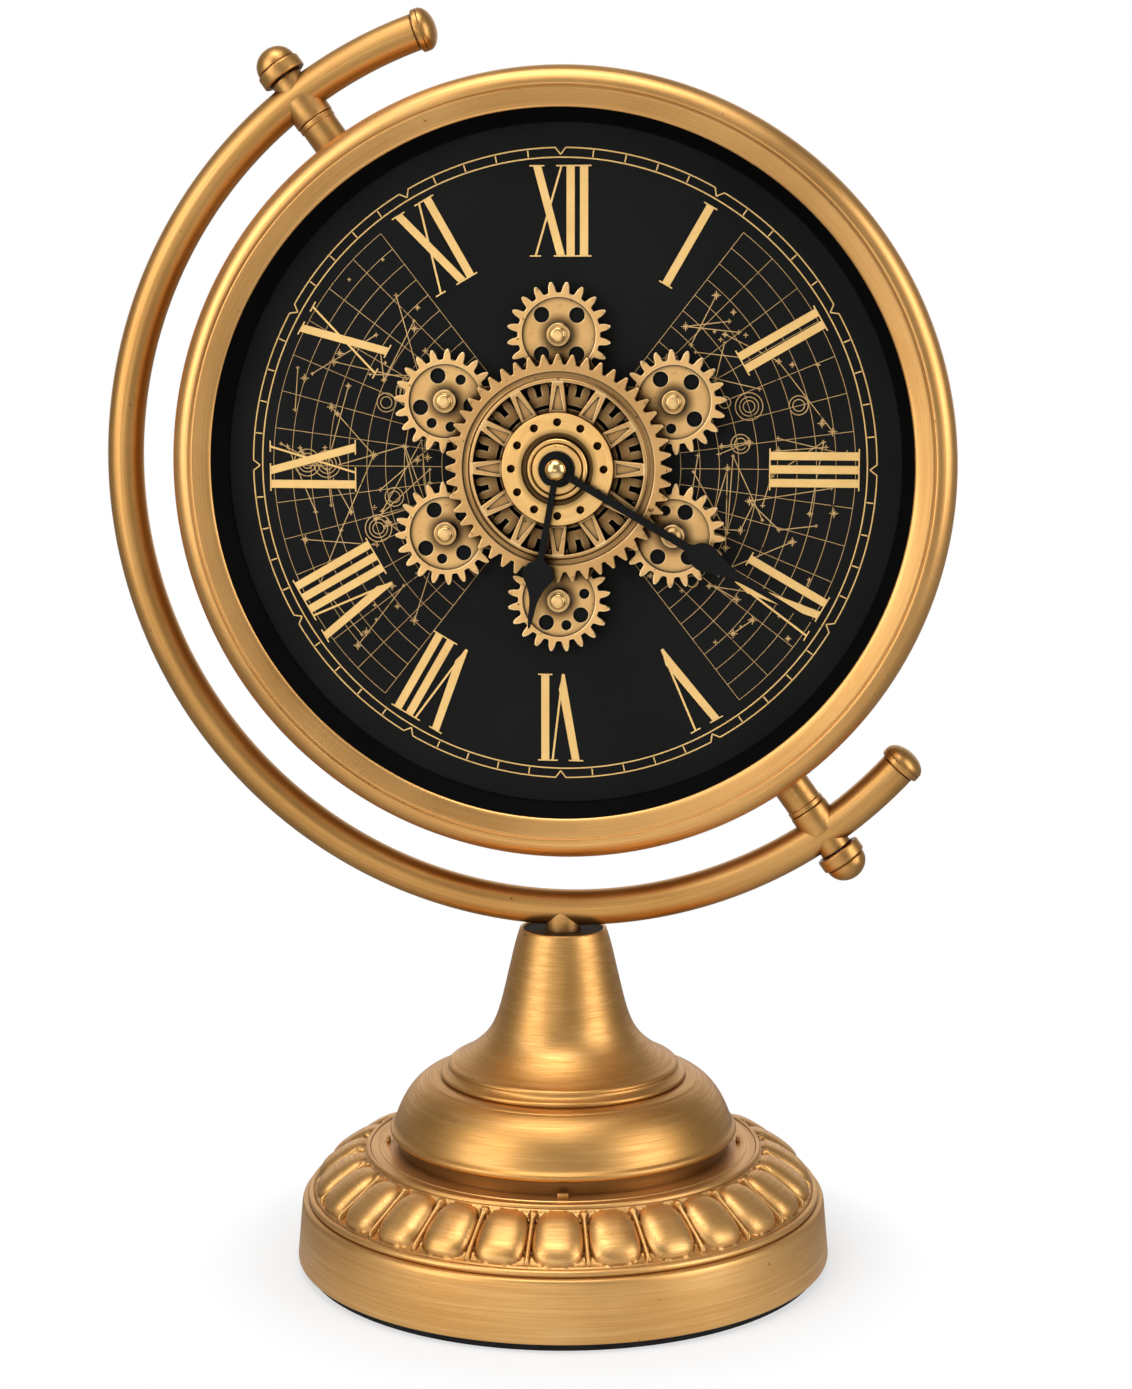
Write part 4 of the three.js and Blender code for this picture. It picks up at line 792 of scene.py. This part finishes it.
def numeralStrokes(word):
    strokes = []
    cursor = 0.0
    thick, thin, lean = numeral.thick, numeral.thin, numeral.lean
    for letter in word:
        left = cursor + thick / 2
        right = left + lean
        if letter == "I":
            strokes += [barStroke(left, left, thick), serifStroke(left, thick, 1),
                        serifStroke(left, thick, -1)]
            cursor += numeral.barStep
        elif letter == "X":
            crossTop, crossFoot = right + numeral.crossTop, left - numeral.crossFoot
            strokes += [barStroke(left, right, thick), barStroke(crossTop, crossFoot, thin),
                        serifStroke(left, thick, -1), serifStroke(crossTop, thin + 1, -1),
                        serifStroke(crossFoot, thin + 1, 1), serifStroke(right, thick, 1)]
            cursor += lean + thick + 0.5
        else:
            apex = left + lean * 0.52
            point, half = numeral.point, thick * 0.48
            strokes.append([(apex - point, numeral.foot), (apex + point, numeral.foot),
                            (apex + thick * 0.62, numeral.foot + numeral.notch),
                            (left + half, numeral.top), (left - half, numeral.top)])
            strokes += [barStroke(right, apex + point, thin), serifStroke(left, thick, -1),
                        serifStroke(right, thin + 1, -1)]
            cursor += lean + thick * 0.9
    acrossAll = [point[0] for stroke in strokes for point in stroke]
    middle = (min(acrossAll) + max(acrossAll)) / 2
    return [[(across - middle, up) for across, up in stroke] for stroke in strokes]


piece = startPiece("dialNumerals")
for hour, word in enumerate(words):
    turn = Matrix.Rotation(-radians(30 * hour), 3, "Z")
    for layer, stroke in enumerate(numeralStrokes(word)):
        traceFace([turn @ Vector((across, up, layer * numeral.layer)) for across, up in stroke])
raiseSheet(numeral.rise)
settle(piece, printGold, None, drumPlace @ lift(dialFront - numeral.sink), "drum")


def drawLines(name, lines, width, flat):
    # thin curves flattened on the dial; a line that ends where it starts is closed
    clearSelection()
    curve = bpy.data.curves.new(name, "CURVE")
    curve.dimensions = "3D"
    curve.bevel_depth = width / 2
    curve.bevel_resolution = 0
    curve.use_fill_caps = True
    for line in lines:
        closed = line[0] == line[-1]
        points = line[:-1] if closed else line
        spline = curve.splines.new("POLY")
        spline.points.add(len(points) - 1)
        for spot, point in zip(spline.points, points):
            spot.co = (point[0], point[1], 0, 1)
        spline.use_cyclic_u = closed
    drawn = bpy.data.objects.new(name, curve)
    bpy.context.collection.objects.link(drawn)
    drawn.select_set(True)
    bpy.context.view_layer.objects.active = drawn
    bpy.ops.object.convert(target="MESH")
    piece = bpy.context.object
    piece.scale = (1, 1, flat)
    bpy.ops.object.transform_apply(location=True, rotation=True, scale=True)
    return piece


def arcLine(radius, start, end, steps, centre=(0, 0)):
    return arcPoints(centre, radius, radius, 90 - start, 90 - end, steps)


def ringLine(radius, sides, centre=(0, 0)):
    line = arcLine(radius, 0, 360 - 360 / sides, sides - 1, centre)
    return line + line[:1]


# minute track with a notch at every hour
chapter = Sizes(outer=120.0, inner=116.4, notch=0.95, notchFoot=117.4, width=0.5, tickGap=0.5, flat=0.4)
trackLines = []
for hour in range(0, 360, 30):
    edge = arcLine(chapter.outer, hour + chapter.notch, hour + 30 - chapter.notch, 26)
    trackLines.append([clockwisePoint(hour, chapter.notchFoot)] + edge)
    trackLines.append([edge[-1], clockwisePoint(hour + 30, chapter.notchFoot)])
    for minute in range(hour + 6, hour + 30, 6):
        trackLines.append([clockwisePoint(minute, chapter.inner + chapter.tickGap),
                           clockwisePoint(minute, chapter.outer - chapter.tickGap)])
trackLines.append(ringLine(chapter.inner, 288))
settle(drawLines("dialTrack", trackLines, chapter.width, chapter.flat), printGold, None, printPlace, "drum")

# sky fans left and right of the wheels: arcs, rays, stars joined by lines
sky = Sizes(inner=46.0, outer=112.0, half=52.0, arcs=9, rays=14, stars=84, seed=11, line=0.22, flat=0.5,
            starLine=0.34, starFlat=0.4, starSizes=(0.7, 0.9, 1.2, 1.7), joinUnder=34, orbits=7,
            orbitReach=(62, 100), orbitSizes=(2.2, 3.6, 5.2))
chance = random.Random(sky.seed)
fanLines, starLines = [], []
for middle in (90, 270):
    for arc in range(sky.arcs + 1):
        radius = sky.inner + (sky.outer - sky.inner) * arc / sky.arcs
        fanLines.append(arcLine(radius, middle - sky.half, middle + sky.half, 60))
    for ray in range(sky.rays + 1):
        around = middle - sky.half + 2 * sky.half * ray / sky.rays
        fanLines.append([clockwisePoint(around, sky.inner), clockwisePoint(around, sky.outer)])
    previous = None
    for star in range(sky.stars):
        around = middle + chance.uniform(-sky.half, sky.half) * 0.96
        spot = clockwisePoint(around, chance.uniform(sky.inner + 3, sky.outer - 2))
        size = chance.choice(sky.starSizes)
        arms = [Vector((size, 0, 0)), Vector((0, size, 0))]
        if size > 1:
            small = size * 0.45
            arms += [Vector((small, small, 0)), Vector((small, -small, 0))]
        starLines += [[spot - reach, spot + reach] for reach in arms]
        if previous and (previous - spot).length < sky.joinUnder:
            starLines.append([previous, spot])
        previous = spot
    for orbit in range(sky.orbits):
        around = middle + chance.uniform(-0.8, 0.8) * sky.half
        centre = clockwisePoint(around, chance.uniform(*sky.orbitReach))
        for radius in sky.orbitSizes[:chance.choice((1, 2, 3))]:
            starLines.append(ringLine(radius, 24, centre))
settle(drawLines("dialFans", fanLines, sky.line, sky.flat), chartGold, None, printPlace, "drum")
settle(drawLines("dialStars", starLines, sky.starLine, sky.starFlat), chartGold, None, printPlace, "drum")
print("dial modelled")


# toothed wheels
def involute(angle):
    return tan(angle) - angle


def toothOutline(teeth, module, phase, deeper=0.0):
    pitch = module * teeth / 2
    base = pitch * cos(radians(20))
    tip, root = pitch + module, pitch - 1.25 * module
    atPitch = pi / (2 * teeth) - 0.09 * module / pitch
    atPitchInvolute = involute(acos(base / pitch))

    def halfAngle(radius):
        return atPitch + atPitchInvolute - involute(acos(min(1.0, base / max(radius, base))))

    foot = halfAngle(root)
    gap = pi / teeth - foot
    spread = (0, 0, 0) if deeper else (0.5, 0.2, 0.04)
    flank = [(root + up * module, foot + share * gap) for up, share in zip((0, 0.14, 0.45), spread)]
    flank += [(radius, halfAngle(radius)) for radius in (pitch, (pitch + tip) / 2, tip)]
    outline = []
    for tooth in range(teeth):
        middle = phase + fullTurn * tooth / teeth
        sides = [(middle - half, radius) for radius, half in flank]
        sides += [(middle + half, radius) for radius, half in reversed(flank)]
        if deeper:
            sides = [(middle - foot, root - deeper)] + sides + [(middle + foot, root - deeper)]
        outline += [(radius * cos(angle), radius * sin(angle)) for angle, radius in sides]
    return outline


def slotLoop(inner, outer, middle, span):
    start, end = middle - span / 2, middle + span / 2
    return arcPoints((0, 0), outer, outer, start, end, 6) + arcPoints((0, 0), inner, inner, end, start, 6)


sun = Sizes(teeth=36, module=1.8, thick=2.8, deeper=2.2, slots=12, slotInner=23.0, slotOuter=24.2,
            slotSpan=19.0, bore=5.05, edge=0.22)
gearPlace = drumPlace @ lift(drumSpan("sun_gear")[0])
outlines = [toothOutline(sun.teeth, sun.module, 0, sun.deeper), (sun.bore,)]
for slot in range(sun.slots):
    outlines.append(slotLoop(sun.slotInner, sun.slotOuter, 360 * (slot + 0.5) / sun.slots, sun.slotSpan))
piece = cutSheet("sunWheel", outlines, sun.thick, sun.edge)
settle(piece, sunShadeGold, "sun_gear", gearPlace, "gear_centre", 20)

satellite = Sizes(
    orbit=50.4, teeth=20, module=1.8, thick=2.8, recess=1.3, recessRadius=14.0, holeReach=10.0, large=2.9,
    small=1.9, bore=3.0, boss=4.0, bossFoot=1.6, bossFall=0.15, floor=0.35, rimEdge=0.26, edge=0.22,
    stain=(0, 0.001, 0.0045, 0.0085, 0.88))
holePlan = [
    [(-42, "large"), (43, "large"), (138, "large"), (222, "large")],
    [(-31, "large"), (41, "large"), (129, "large"), (186, "small")],
    [(-18, "small"), (27, "large"), (144, "large"), (216, "large")],
    [(75, "small"), (124, "large"), (164, "small"), (210, "large"), (300, "large")],
    [(-28, "large"), (40, "large"), (138, "large"), (190, "small"), (234, "large")],
    [(-17, "large"), (36, "small"), (100, "large"), (169, "small"), (213, "small"), (256, "large")]]
thick, recess, boss = satellite.thick, satellite.recessRadius, satellite.boss
for index, holes in enumerate(holePlan):
    number = str(index + 1)
    body, node = "satellite_" + number, "satellite_gear_" + number
    spot = clockwisePoint(60 * index, satellite.orbit)
    place = gearPlace @ shift(spot)
    direction = radians(90 - 60 * index)
    phase = direction + pi + (direction / (fullTurn / sun.teeth) - 0.5) * fullTurn / satellite.teeth
    outlines = [toothOutline(satellite.teeth, satellite.module, phase), (recess, 64)]
    rim = cutSheet("satelliteRim" + number, outlines, thick, satellite.rimEdge)
    outlines = [(recess + 0.4, 64), (satellite.bore, 32)]
    outlines += [(satellite[size], 28, clockwisePoint(around, satellite.holeReach)) for around, size in holes]
    face = cutSheet("satelliteFace" + number, outlines, thick - satellite.recess, satellite.edge)
    bossFoot, bossTop = thick - satellite.bossFoot, thick - satellite.bossFall
    profile = [(satellite.bore, bossFoot), (boss + 1.2, bossFoot),
               (boss + 0.5, thick - satellite.recess + 0.1, 0.3),
               (boss, bossTop, 0.4), (satellite.bore, bossTop, 0.2)]
    piece = joinPieces(rim, face, turnPiece("satelliteBoss" + number, profile, 48))
    # each satellite's copy of the satin gold centres its painted shade ring on the post
    material = satinGold("satelliteGold" + number, drumPlace @ spot, stain=satellite.stain)
    settle(piece, material, node, place, body, 20)
    # a black disc behind the holes, so that they read as deep shade: painted shade
    profile = boxLoop(boss + 2.0, recess - 0.8, 0.1, satellite.floor)
    settle(turnPiece("satelliteShadeDisc" + number, profile, 64), dialBlack, node, place, body)

# posts the satellites turn on, with a collar and a button
post = Sizes(collar=4.4, button=2.7, collarRear=12.8, collarFront=14.7, front=16.8, stem=2.3, foot=7.2)
for index in range(6):
    number = str(index + 1)
    profile = easeCorners([
        (0, post.foot), (post.stem, post.foot), (post.stem, post.collarRear),
        (post.collar, post.collarRear, 0.3),
        (post.collar, post.collarFront, 0.6), (post.button + 0.35, post.collarFront - 0.15, 0.15),
        (post.button, post.collarFront + 0.2, 0.1), (post.button, post.front, 2.2), (0, post.front)], 6)
    node, body = "satellite_post_" + number, "drum"
    if number == "4":
        node, body = "drive_shaft", "satellite_4"
    place = drumPlace @ shift(clockwisePoint(60 * index, satellite.orbit))
    settle(turnPiece("postHead" + number, profile, 48), pinGold, node, place, body)

# front wheel: toothed rim, inner ring, framed spokes and a stepped hub
wheel = Sizes(
    teeth=48, module=1.73, thick=2.4, rimEdge=0.36, grooveOuter=36.7, grooveInner=34.7, grooveFloor=1.2,
    lip=33.9, ringInner=32.7, spokes=12, spokeFoot=20.4, spokeFootHalf=3.45, spokeTop=33.0, spokeTopHalf=2.2,
    frame=1.3125,
    frameFoot=1.9, frameTop=1.7, frameTopHalf=0.35, frameEdge=0.25, floorDeep=0.9, hub=21.3, hubThick=1.7,
    hubEdge=0.2, hubSink=0.2, hubHoles=12, hubHoleReach=17.7, hubHole=1.5, bead=12.5, crown=9.4, bore=4.6)
wheelPlace = drumPlace @ lift(drumSpan("front_gear")[0])
foot, top, thick = wheel.spokeFoot, wheel.spokeTop, wheel.thick
outlines = [toothOutline(wheel.teeth, wheel.module, 0), (wheel.grooveOuter, 120)]
rim = cutSheet("frontRim", outlines, thick, wheel.rimEdge)
under = wheel.grooveOuter + 0.5
ring = turnPiece("frontRing", [
    (wheel.ringInner, 0.1), (under, 0.1), (under, wheel.grooveFloor),
    (wheel.grooveInner, wheel.grooveFloor, 0.8),
    (wheel.lip, thick - 0.1, 0.4), (wheel.ringInner, thick, 0.35)], 144)


def spokeLoops(footHalf, topHalf, footAt, topAt):
    corners = [(-footHalf, footAt, 0), (footHalf, footAt, 0), (topHalf, topAt, 0), (-topHalf, topAt, 0)]
    turns = [Matrix.Rotation(fullTurn * spoke / wheel.spokes, 3, "Z") for spoke in range(wheel.spokes)]
    return [[turn @ Vector(corner) for corner in corners] for turn in turns]


edges = spokeLoops(wheel.spokeFootHalf, wheel.spokeTopHalf, foot, top)
recesses = spokeLoops(wheel.spokeFootHalf - wheel.frame, wheel.frameTopHalf, foot + wheel.frameFoot,
                      top - wheel.frameTop)
outlines = [loop for pair in zip(edges, recesses) for loop in pair]
frames = cutSheet("frontSpokes", outlines, thick - 0.1, wheel.frameEdge)
floors = startPiece("frontFloors")
for loop in spokeLoops(wheel.spokeFootHalf - 0.5, wheel.spokeTopHalf - 0.4, foot, top):
    traceFace(loop)
raiseSheet(thick - wheel.floorDeep)
outlines = [(wheel.hub, 120), (wheel.bead + 1.2, 72)]
for hole in range(wheel.hubHoles):
    outlines.append((wheel.hubHole, 24, clockwisePoint(360 * hole / wheel.hubHoles, wheel.hubHoleReach)))
hub = cutSheet("frontHub", outlines, wheel.hubThick, wheel.hubEdge, thick - wheel.hubSink)
hubTop = thick + wheel.hubThick - wheel.hubSink
groove, crownTop = hubTop - 1.6, hubTop + 1.5
crown = turnPiece("frontCrown", [
    (wheel.bore, 0.4), (wheel.bead + 2.0, 0.4), (wheel.bead + 2.0, groove), (wheel.bead - 0.4, groove, 0.2),
    (wheel.bead - 1.0, hubTop + 0.8, 0.9), (wheel.crown + 0.7, hubTop + 0.8, 0.5),
    (wheel.crown + 0.2, hubTop + 0.1, 0.15), (wheel.crown, hubTop + 0.2, 0.1), (wheel.crown, crownTop, 0.5),
    (wheel.bore, crownTop, 0.3)])
joinPieces(rim, ring, frames, floors)
joinPieces(hub, crown)
for piece, material in ((rim, wheelGold), (hub, hubGold)):
    settle(piece, material, "front_gear", wheelPlace, "gear_centre", 20)
print("wheels modelled")

# spade hands
hands = {
    "hour": Sizes(angle=190.0, hub=6.9, bore=3.4, stem=2.6, foot=35.5, spade=12.0, widest=40.5, neck=54.5,
                  neckWidth=2.5, tip=61.5, edge=0.15),
    "minute": Sizes(angle=120.0, hub=5.6, bore=2.2, stem=3.2, foot=59.0, spade=10.6, widest=65.0, neck=88.0,
                    neckWidth=2.3, tip=116.0, edge=0.15),
}
for name, hand in hands.items():
    rear, front = drumSpan(name + "_hand")
    half, neckHalf = hand.stem / 2, hand.neckWidth / 2
    root = half * 0.86
    right = [(root, hand.hub * 0.9), (half, hand.foot - 1.2), (half + 0.5, hand.foot - 0.2)]
    right += arcPoints((0, hand.widest), hand.spade / 2, (hand.widest - hand.foot) * 1.05, -62, 38, 8)
    shoulder, level = right[-1]
    for step in range(1, 10):
        share = step / 9
        fall = (1 - share) ** 2.1
        right.append((neckHalf + (shoulder - neckHalf) * fall, level + (hand.neck - level) * share))
    right += [(neckHalf * 0.75, (hand.neck + hand.tip) / 2), (0.45, hand.tip - 0.5), (0.2, hand.tip)]
    start = asin(root / hand.hub) * 180 / pi
    outline = right[::-1] + arcLine(hand.hub, start, 360 - start, 40)[1:-1]
    outline += [(-across, up) for across, up in right]
    piece = cutSheet(name + "Spade", [outline, (hand.bore, 40)], front - rear, hand.edge)
    place = drumPlace @ lift(rear) @ Matrix.Rotation(-radians(hand.angle), 4, "Z")
    settle(piece, handBlack, name + "_hand", place, name + "_train", 20)

nut = Sizes(radius=4.0, band=1.1)
rear, front = drumSpan("hand_nut")
profile = easeCorners([(0, rear), (nut.radius - 0.1, rear, 0.2), (nut.radius, rear + nut.band * 0.5, 0.3)])
profile += arcPoints((0, rear + nut.band * 0.6), nut.radius, front - rear - nut.band * 0.6, 4, 90, 16)
profile[-1] = (0, front)
piece = turnPiece("handNutDomed", profile, 64)
settle(piece, brightBrass, "hand_nut", drumPlace, "minute_train")
print("hands modelled")


# back of the drum: cover with vents, screws, movement lid, knob, cells and switch
def addRibs(piece, look, left, right, middle):
    for rib in range(look.ribs):
        foot = middle + look.ribStep * (rib - (look.ribs - 1) / 2) - look.ribHigh / 2
        loop = boxLoop(left, right, foot, foot + look.ribHigh)
        joinPieces(piece, cutSheet("rib", [loop], look.ribRise + 0.2, look.ribEdge, -look.ribRise))


def raisedRing(name, inner, outer, rise, ease, steps):
    profile = [(inner, 0.2), (inner, -rise, ease), (outer, -rise, ease), (outer, 0.2)]
    return turnPiece(name, profile, steps)


screwNodes = ["cover_screw_1", "cover_screw_2", "cover_screw_3"]
cover = Sizes(margin=1.5, frame=3.2, frameRise=1.0, rings=(92.0, 122.0), ringWidth=2.4, ringRise=0.9, vents=7,
              ventInner=101.0, ventOuter=115.0, ventSpan=5.0, ventStep=9.0, screwHole=1.9, edge=0.35)
rear, front = drumSpan("back_cover")
left, low = drumSides("movement_case")[0] - cover.margin, drumSides("movement_case")[2] - cover.margin
right, high = drumSides("battery_holder")[1] + cover.margin, drumSides("battery_holder")[3] + cover.margin
opening = boxLoop(left, right, low, high)
outlines = [(wide("back_cover"), 180), opening]
outlines += [(cover.screwHole, 24, middleOf(node)) for node in screwNodes]
for vent in range(cover.vents):
    middle = 270 + cover.ventStep * (vent - (cover.vents - 1) / 2)
    outlines.append(slotLoop(cover.ventInner, cover.ventOuter, middle, cover.ventSpan))
piece = cutSheet("coverVented", outlines, front - rear, cover.edge)
outlines = [boxLoop(left - cover.frame, right + cover.frame, low - cover.frame, high + cover.frame), opening]
joinPieces(piece, cutSheet("coverBorder", outlines, cover.frameRise + 0.2, cover.edge, -cover.frameRise))
for reach in cover.rings:
    joinPieces(piece, raisedRing("coverRing", reach, reach + cover.ringWidth, cover.ringRise, 0.6, 180))
settle(piece, blackPlastic, "back_cover", drumPlace @ lift(rear), "drum", 20)

screw = Sizes(head=3.0, rise=1.6, slotLong=1.75, slotHalf=0.42, slotDeep=0.9, shank=1.45, edge=0.3)
long, half, head = screw.slotLong, screw.slotHalf, screw.head - 0.1
crossLoop = [(long, -half), (long, half), (half, half), (half, long), (-half, long), (-half, half),
             (-long, half), (-long, -half), (-half, -half), (-half, -long), (half, -long), (half, -half)]
for node in screwNodes:
    rear, front = drumSpan(node)
    piece = cutSheet("screwCrossed" + node[-1], [(screw.head, 40), crossLoop], screw.slotDeep, screw.edge)
    foot = screw.slotDeep - 0.1
    profile = [(0, foot), (head, foot), (head, screw.rise), (screw.shank, screw.rise),
               (screw.shank, front - rear), (0, front - rear)]
    joinPieces(piece, turnPiece("screwShank", profile, 40))
    place = drumPlace @ shift(middleOf(node)) @ lift(rear)
    settle(piece, plainSteel, node, place, "drum", 20)

lid = Sizes(shaftHole=1.5, ribs=6, ribIn=5.0, ribOut=21.0, ribStep=4.4, ribHigh=1.3, ribRise=0.6,
            ribEdge=0.25, ringInner=7.4, ringOuter=8.8, edge=0.45)
left, right, low, high = drumSides("movement_cover")
rear, front = drumSpan("movement_cover")
knobSpot = middleOf("set_knob")
outlines = [boxLoop(left, right, low, high), (lid.shaftHole, 24, knobSpot)]
piece = cutSheet("lidRidged", outlines, front - rear, lid.edge)
addRibs(piece, lid, left + lid.ribIn, left + lid.ribOut, (low + high) / 2)
ring = raisedRing("lidRing", lid.ringInner, lid.ringOuter, lid.ribRise, lid.ribEdge, 64)
ring.matrix_world = shift(knobSpot)
joinPieces(piece, ring)
settle(piece, blackPlastic, "movement_cover", drumPlace @ lift(rear), "drum", 20)

knob = Sizes(valley=6.05, ridge=6.4, ridges=40, dish=4.3, rim=0.5, height=4.2, edge=0.15)
knurl = []
for step in range(knob.ridges * 2):
    knurl.append(clockwisePoint(180 * step / knob.ridges, knob.ridge if step % 2 else knob.valley))
piece = cutSheet("knobKnurled", [knurl, (knob.dish, 40)], knob.height, knob.edge)
place = drumPlace @ shift(knobSpot) @ lift(drumSpan("set_knob")[0] - knob.rim)
settle(piece, whitePlastic, None, place, "setting_train", 20)

cell = Sizes(radius=7.1, length=48.5, nub=2.7, nubLong=1.5, band=36.0, edge=0.8, crimp=0.25)
reach, end, band, nub = cell.radius, cell.length, cell.band, cell.nub
sleeveLine = [
    (0, 0), (reach - 1.0, 0), (reach - 0.7, 0.35, 0.2), (reach, 0.35, cell.edge), (reach, band),
    (reach - cell.crimp, band + 0.2), (0, band + 0.2)]
endLine = [
    (0, band + 0.1), (reach - 0.1, band + 0.1), (reach - 0.05, band + 0.4),
    (reach - 0.05, end - 0.4, cell.edge),
    (reach - 1.2, end, 0.3), (reach - 1.6, end - 0.3, 0.2), (nub + 0.3, end - 0.3), (nub, end + 0.1, 0.2),
    (nub, end + cell.nubLong, 0.5), (0, end + cell.nubLong)]
cells = {"movement_battery": ("Y", 90), "gear_battery_1": ("X", -90), "gear_battery_2": ("X", 90)}
for node, (axis, degrees) in cells.items():
    left, right, low, high = drumSides(node)
    start = middleOf(node) + Vector((0, 0, sum(drumSpan(node)) / 2))
    if axis == "Y":
        start.x = left
    else:
        start.y = low if degrees < 0 else high
    place = drumPlace @ shift(start) @ Matrix.Rotation(radians(degrees), 4, axis)
    settle(turnPiece(node + "_sleeve", sleeveLine, 48), cellSleeve, node, place, "drum")
    settle(turnPiece(node + "_end", endLine, 48), pinGold, node, place, "drum")

slider = Sizes(edge=0.35, ribs=4, ribStep=1.3, ribHigh=0.6, ribRise=0.4, ribEdge=0.15, inset=0.6)
left, right, low, high = drumSides("switch_slider")
rear, front = drumSpan("switch_slider")
piece = cutSheet("sliderRibbed", [boxLoop(left, right, low, high)], front - rear, slider.edge)
addRibs(piece, slider, left + slider.inset, right - slider.inset, (low + high) / 2)
settle(piece, whitePlastic, "switch_slider", drumPlace @ lift(rear), "gear_switch", 20)
print("back modelled")

# solids that no piece replaces only take a material
keptSolids = [
    (plainSteel, ["tie_rod", "tie_rod_nut", "upper_stud", "lower_stud", "gear_motor", "minute_arbor"]),
    (castIron, ["base_weight"]),
    (blackPlastic, ["movement_case", "battery_holder", "gearbox_tray"]),
    (whitePlastic, ["set_knob"]),
    (brightBrass, ["movement_nut", "motor_pinion", "hour_wheel"]),
]
for material, names in keptSolids:
    for name in names:
        solid = frame["nodes"][name]
        if not solid.hide_render:
            solid.data.materials.clear()
            solid.data.materials.append(material)

# stage: floor, pale surroundings and soft boxes
floor = Sizes(size=8.0, white=0.86, pale=0.88, grain=40.0, rough=0.9, keepShadow=0.40, fadeFrom=0.108,
              fadeTo=0.145,
              poolAt=(0.03, -0.38, 0), poolFrom=0.48, poolTo=0.16, poolWhite=1.0, poolDark=0.27)
clearSelection()
bpy.ops.mesh.primitive_plane_add(size=floor.size)
floorObject = bpy.context.object
floorObject.name = "stageFloor"
material, shader = newMaterial("stageWhite")
coords = objectCoords()
rays = addNode("LightPath").outputs
fade = between(lengthOf(coords), floor.fadeFrom, floor.fadeTo, 1 - floor.keepShadow, 1.0)
tone = mixColour(noise(coords, floor.grain), grey(floor.white), grey(floor.pale))
tree.links.new(tone, shader.inputs["Base Color"])
shader.inputs["Roughness"].default_value = floor.rough
shader.inputs["Specular IOR Level"].default_value = 0.0
glow = addNode("Emission", ("Strength", 1.0)).outputs["Emission"]
# for glossy rays the floor glows, brightest in a pool in front of the clock: a painted pool of light for the
# metal to reflect
poolReach = addNode("VectorMath", (0, coords), (1, floor.poolAt), operation="DISTANCE").outputs["Value"]
pool = between(poolReach, floor.poolFrom, floor.poolTo, floor.poolDark, floor.poolWhite)
poolGlow = addNode("Emission", ("Strength", pool)).outputs["Emission"]
sockets = ((0, rays["Is Glossy Ray"]), (1, shader.outputs["BSDF"]), (2, poolGlow))
bounced = addNode("MixShader", *sockets).outputs["Shader"]
lit = maths("MULTIPLY", rays["Is Camera Ray"], fade)
whole = addNode("MixShader", (0, lit), (1, bounced), (2, glow))
output = next(node for node in tree.nodes if node.bl_idname == "ShaderNodeOutputMaterial")
tree.links.new(whole.outputs["Shader"], output.inputs["Surface"])
floorObject.data.materials.append(material)

surround = Sizes(studio=0.22, sweep=1.0, sweepFrom=0.62, sweepTo=0.92)
world = bpy.data.worlds.new("studio")
bpy.context.scene.world = world
world.use_nodes = True
tree = world.node_tree
tree.nodes.clear()
direction = addNode("TexCoord").outputs["Generated"]
forward = Vector((cameraAim.x, cameraAim.y, 0)).normalized()
facing = addNode("VectorMath", (0, direction), (1, forward), operation="DOT_PRODUCT").outputs["Value"]
pale = between(facing, surround.sweepFrom, surround.sweepTo, surround.studio, surround.sweep)
strength = maths("MAXIMUM", pale, addNode("LightPath").outputs["Is Camera Ray"])
backdrop = addNode("Background", ("Color", (1, 1, 1, 1)), ("Strength", strength)).outputs["Background"]
tree.links.new(backdrop, tree.nodes.new("ShaderNodeOutputWorld").inputs["Surface"])

lamps = {
    "leftBox": Sizes(at=(-1.15, -1.10, 0.75), size=(1.0, 1.6), power=13.5),
    "rightBox": Sizes(at=(1.50, -0.62, 0.70), size=(0.95, 1.5), power=13.0),
    "topBox": Sizes(at=(-0.2, -0.55, 1.9), size=(1.4, 1.0), power=17.0),
    "frontBox": Sizes(at=(-0.25, -1.75, 0.20), size=(0.9, 0.5), power=2.1),
}
aim = Vector((0, 0, 0.25))
for name, lamp in lamps.items():
    clearSelection()
    bpy.ops.object.light_add(type="AREA", location=lamp.at)
    light = bpy.context.object
    light.name = name
    light.rotation_euler = (aim - Vector(lamp.at)).to_track_quat("-Z", "Y").to_euler()
    light.data.shape = "RECTANGLE"
    light.data.size, light.data.size_y = lamp.size
    light.data.energy = lamp.power
print("stage set")
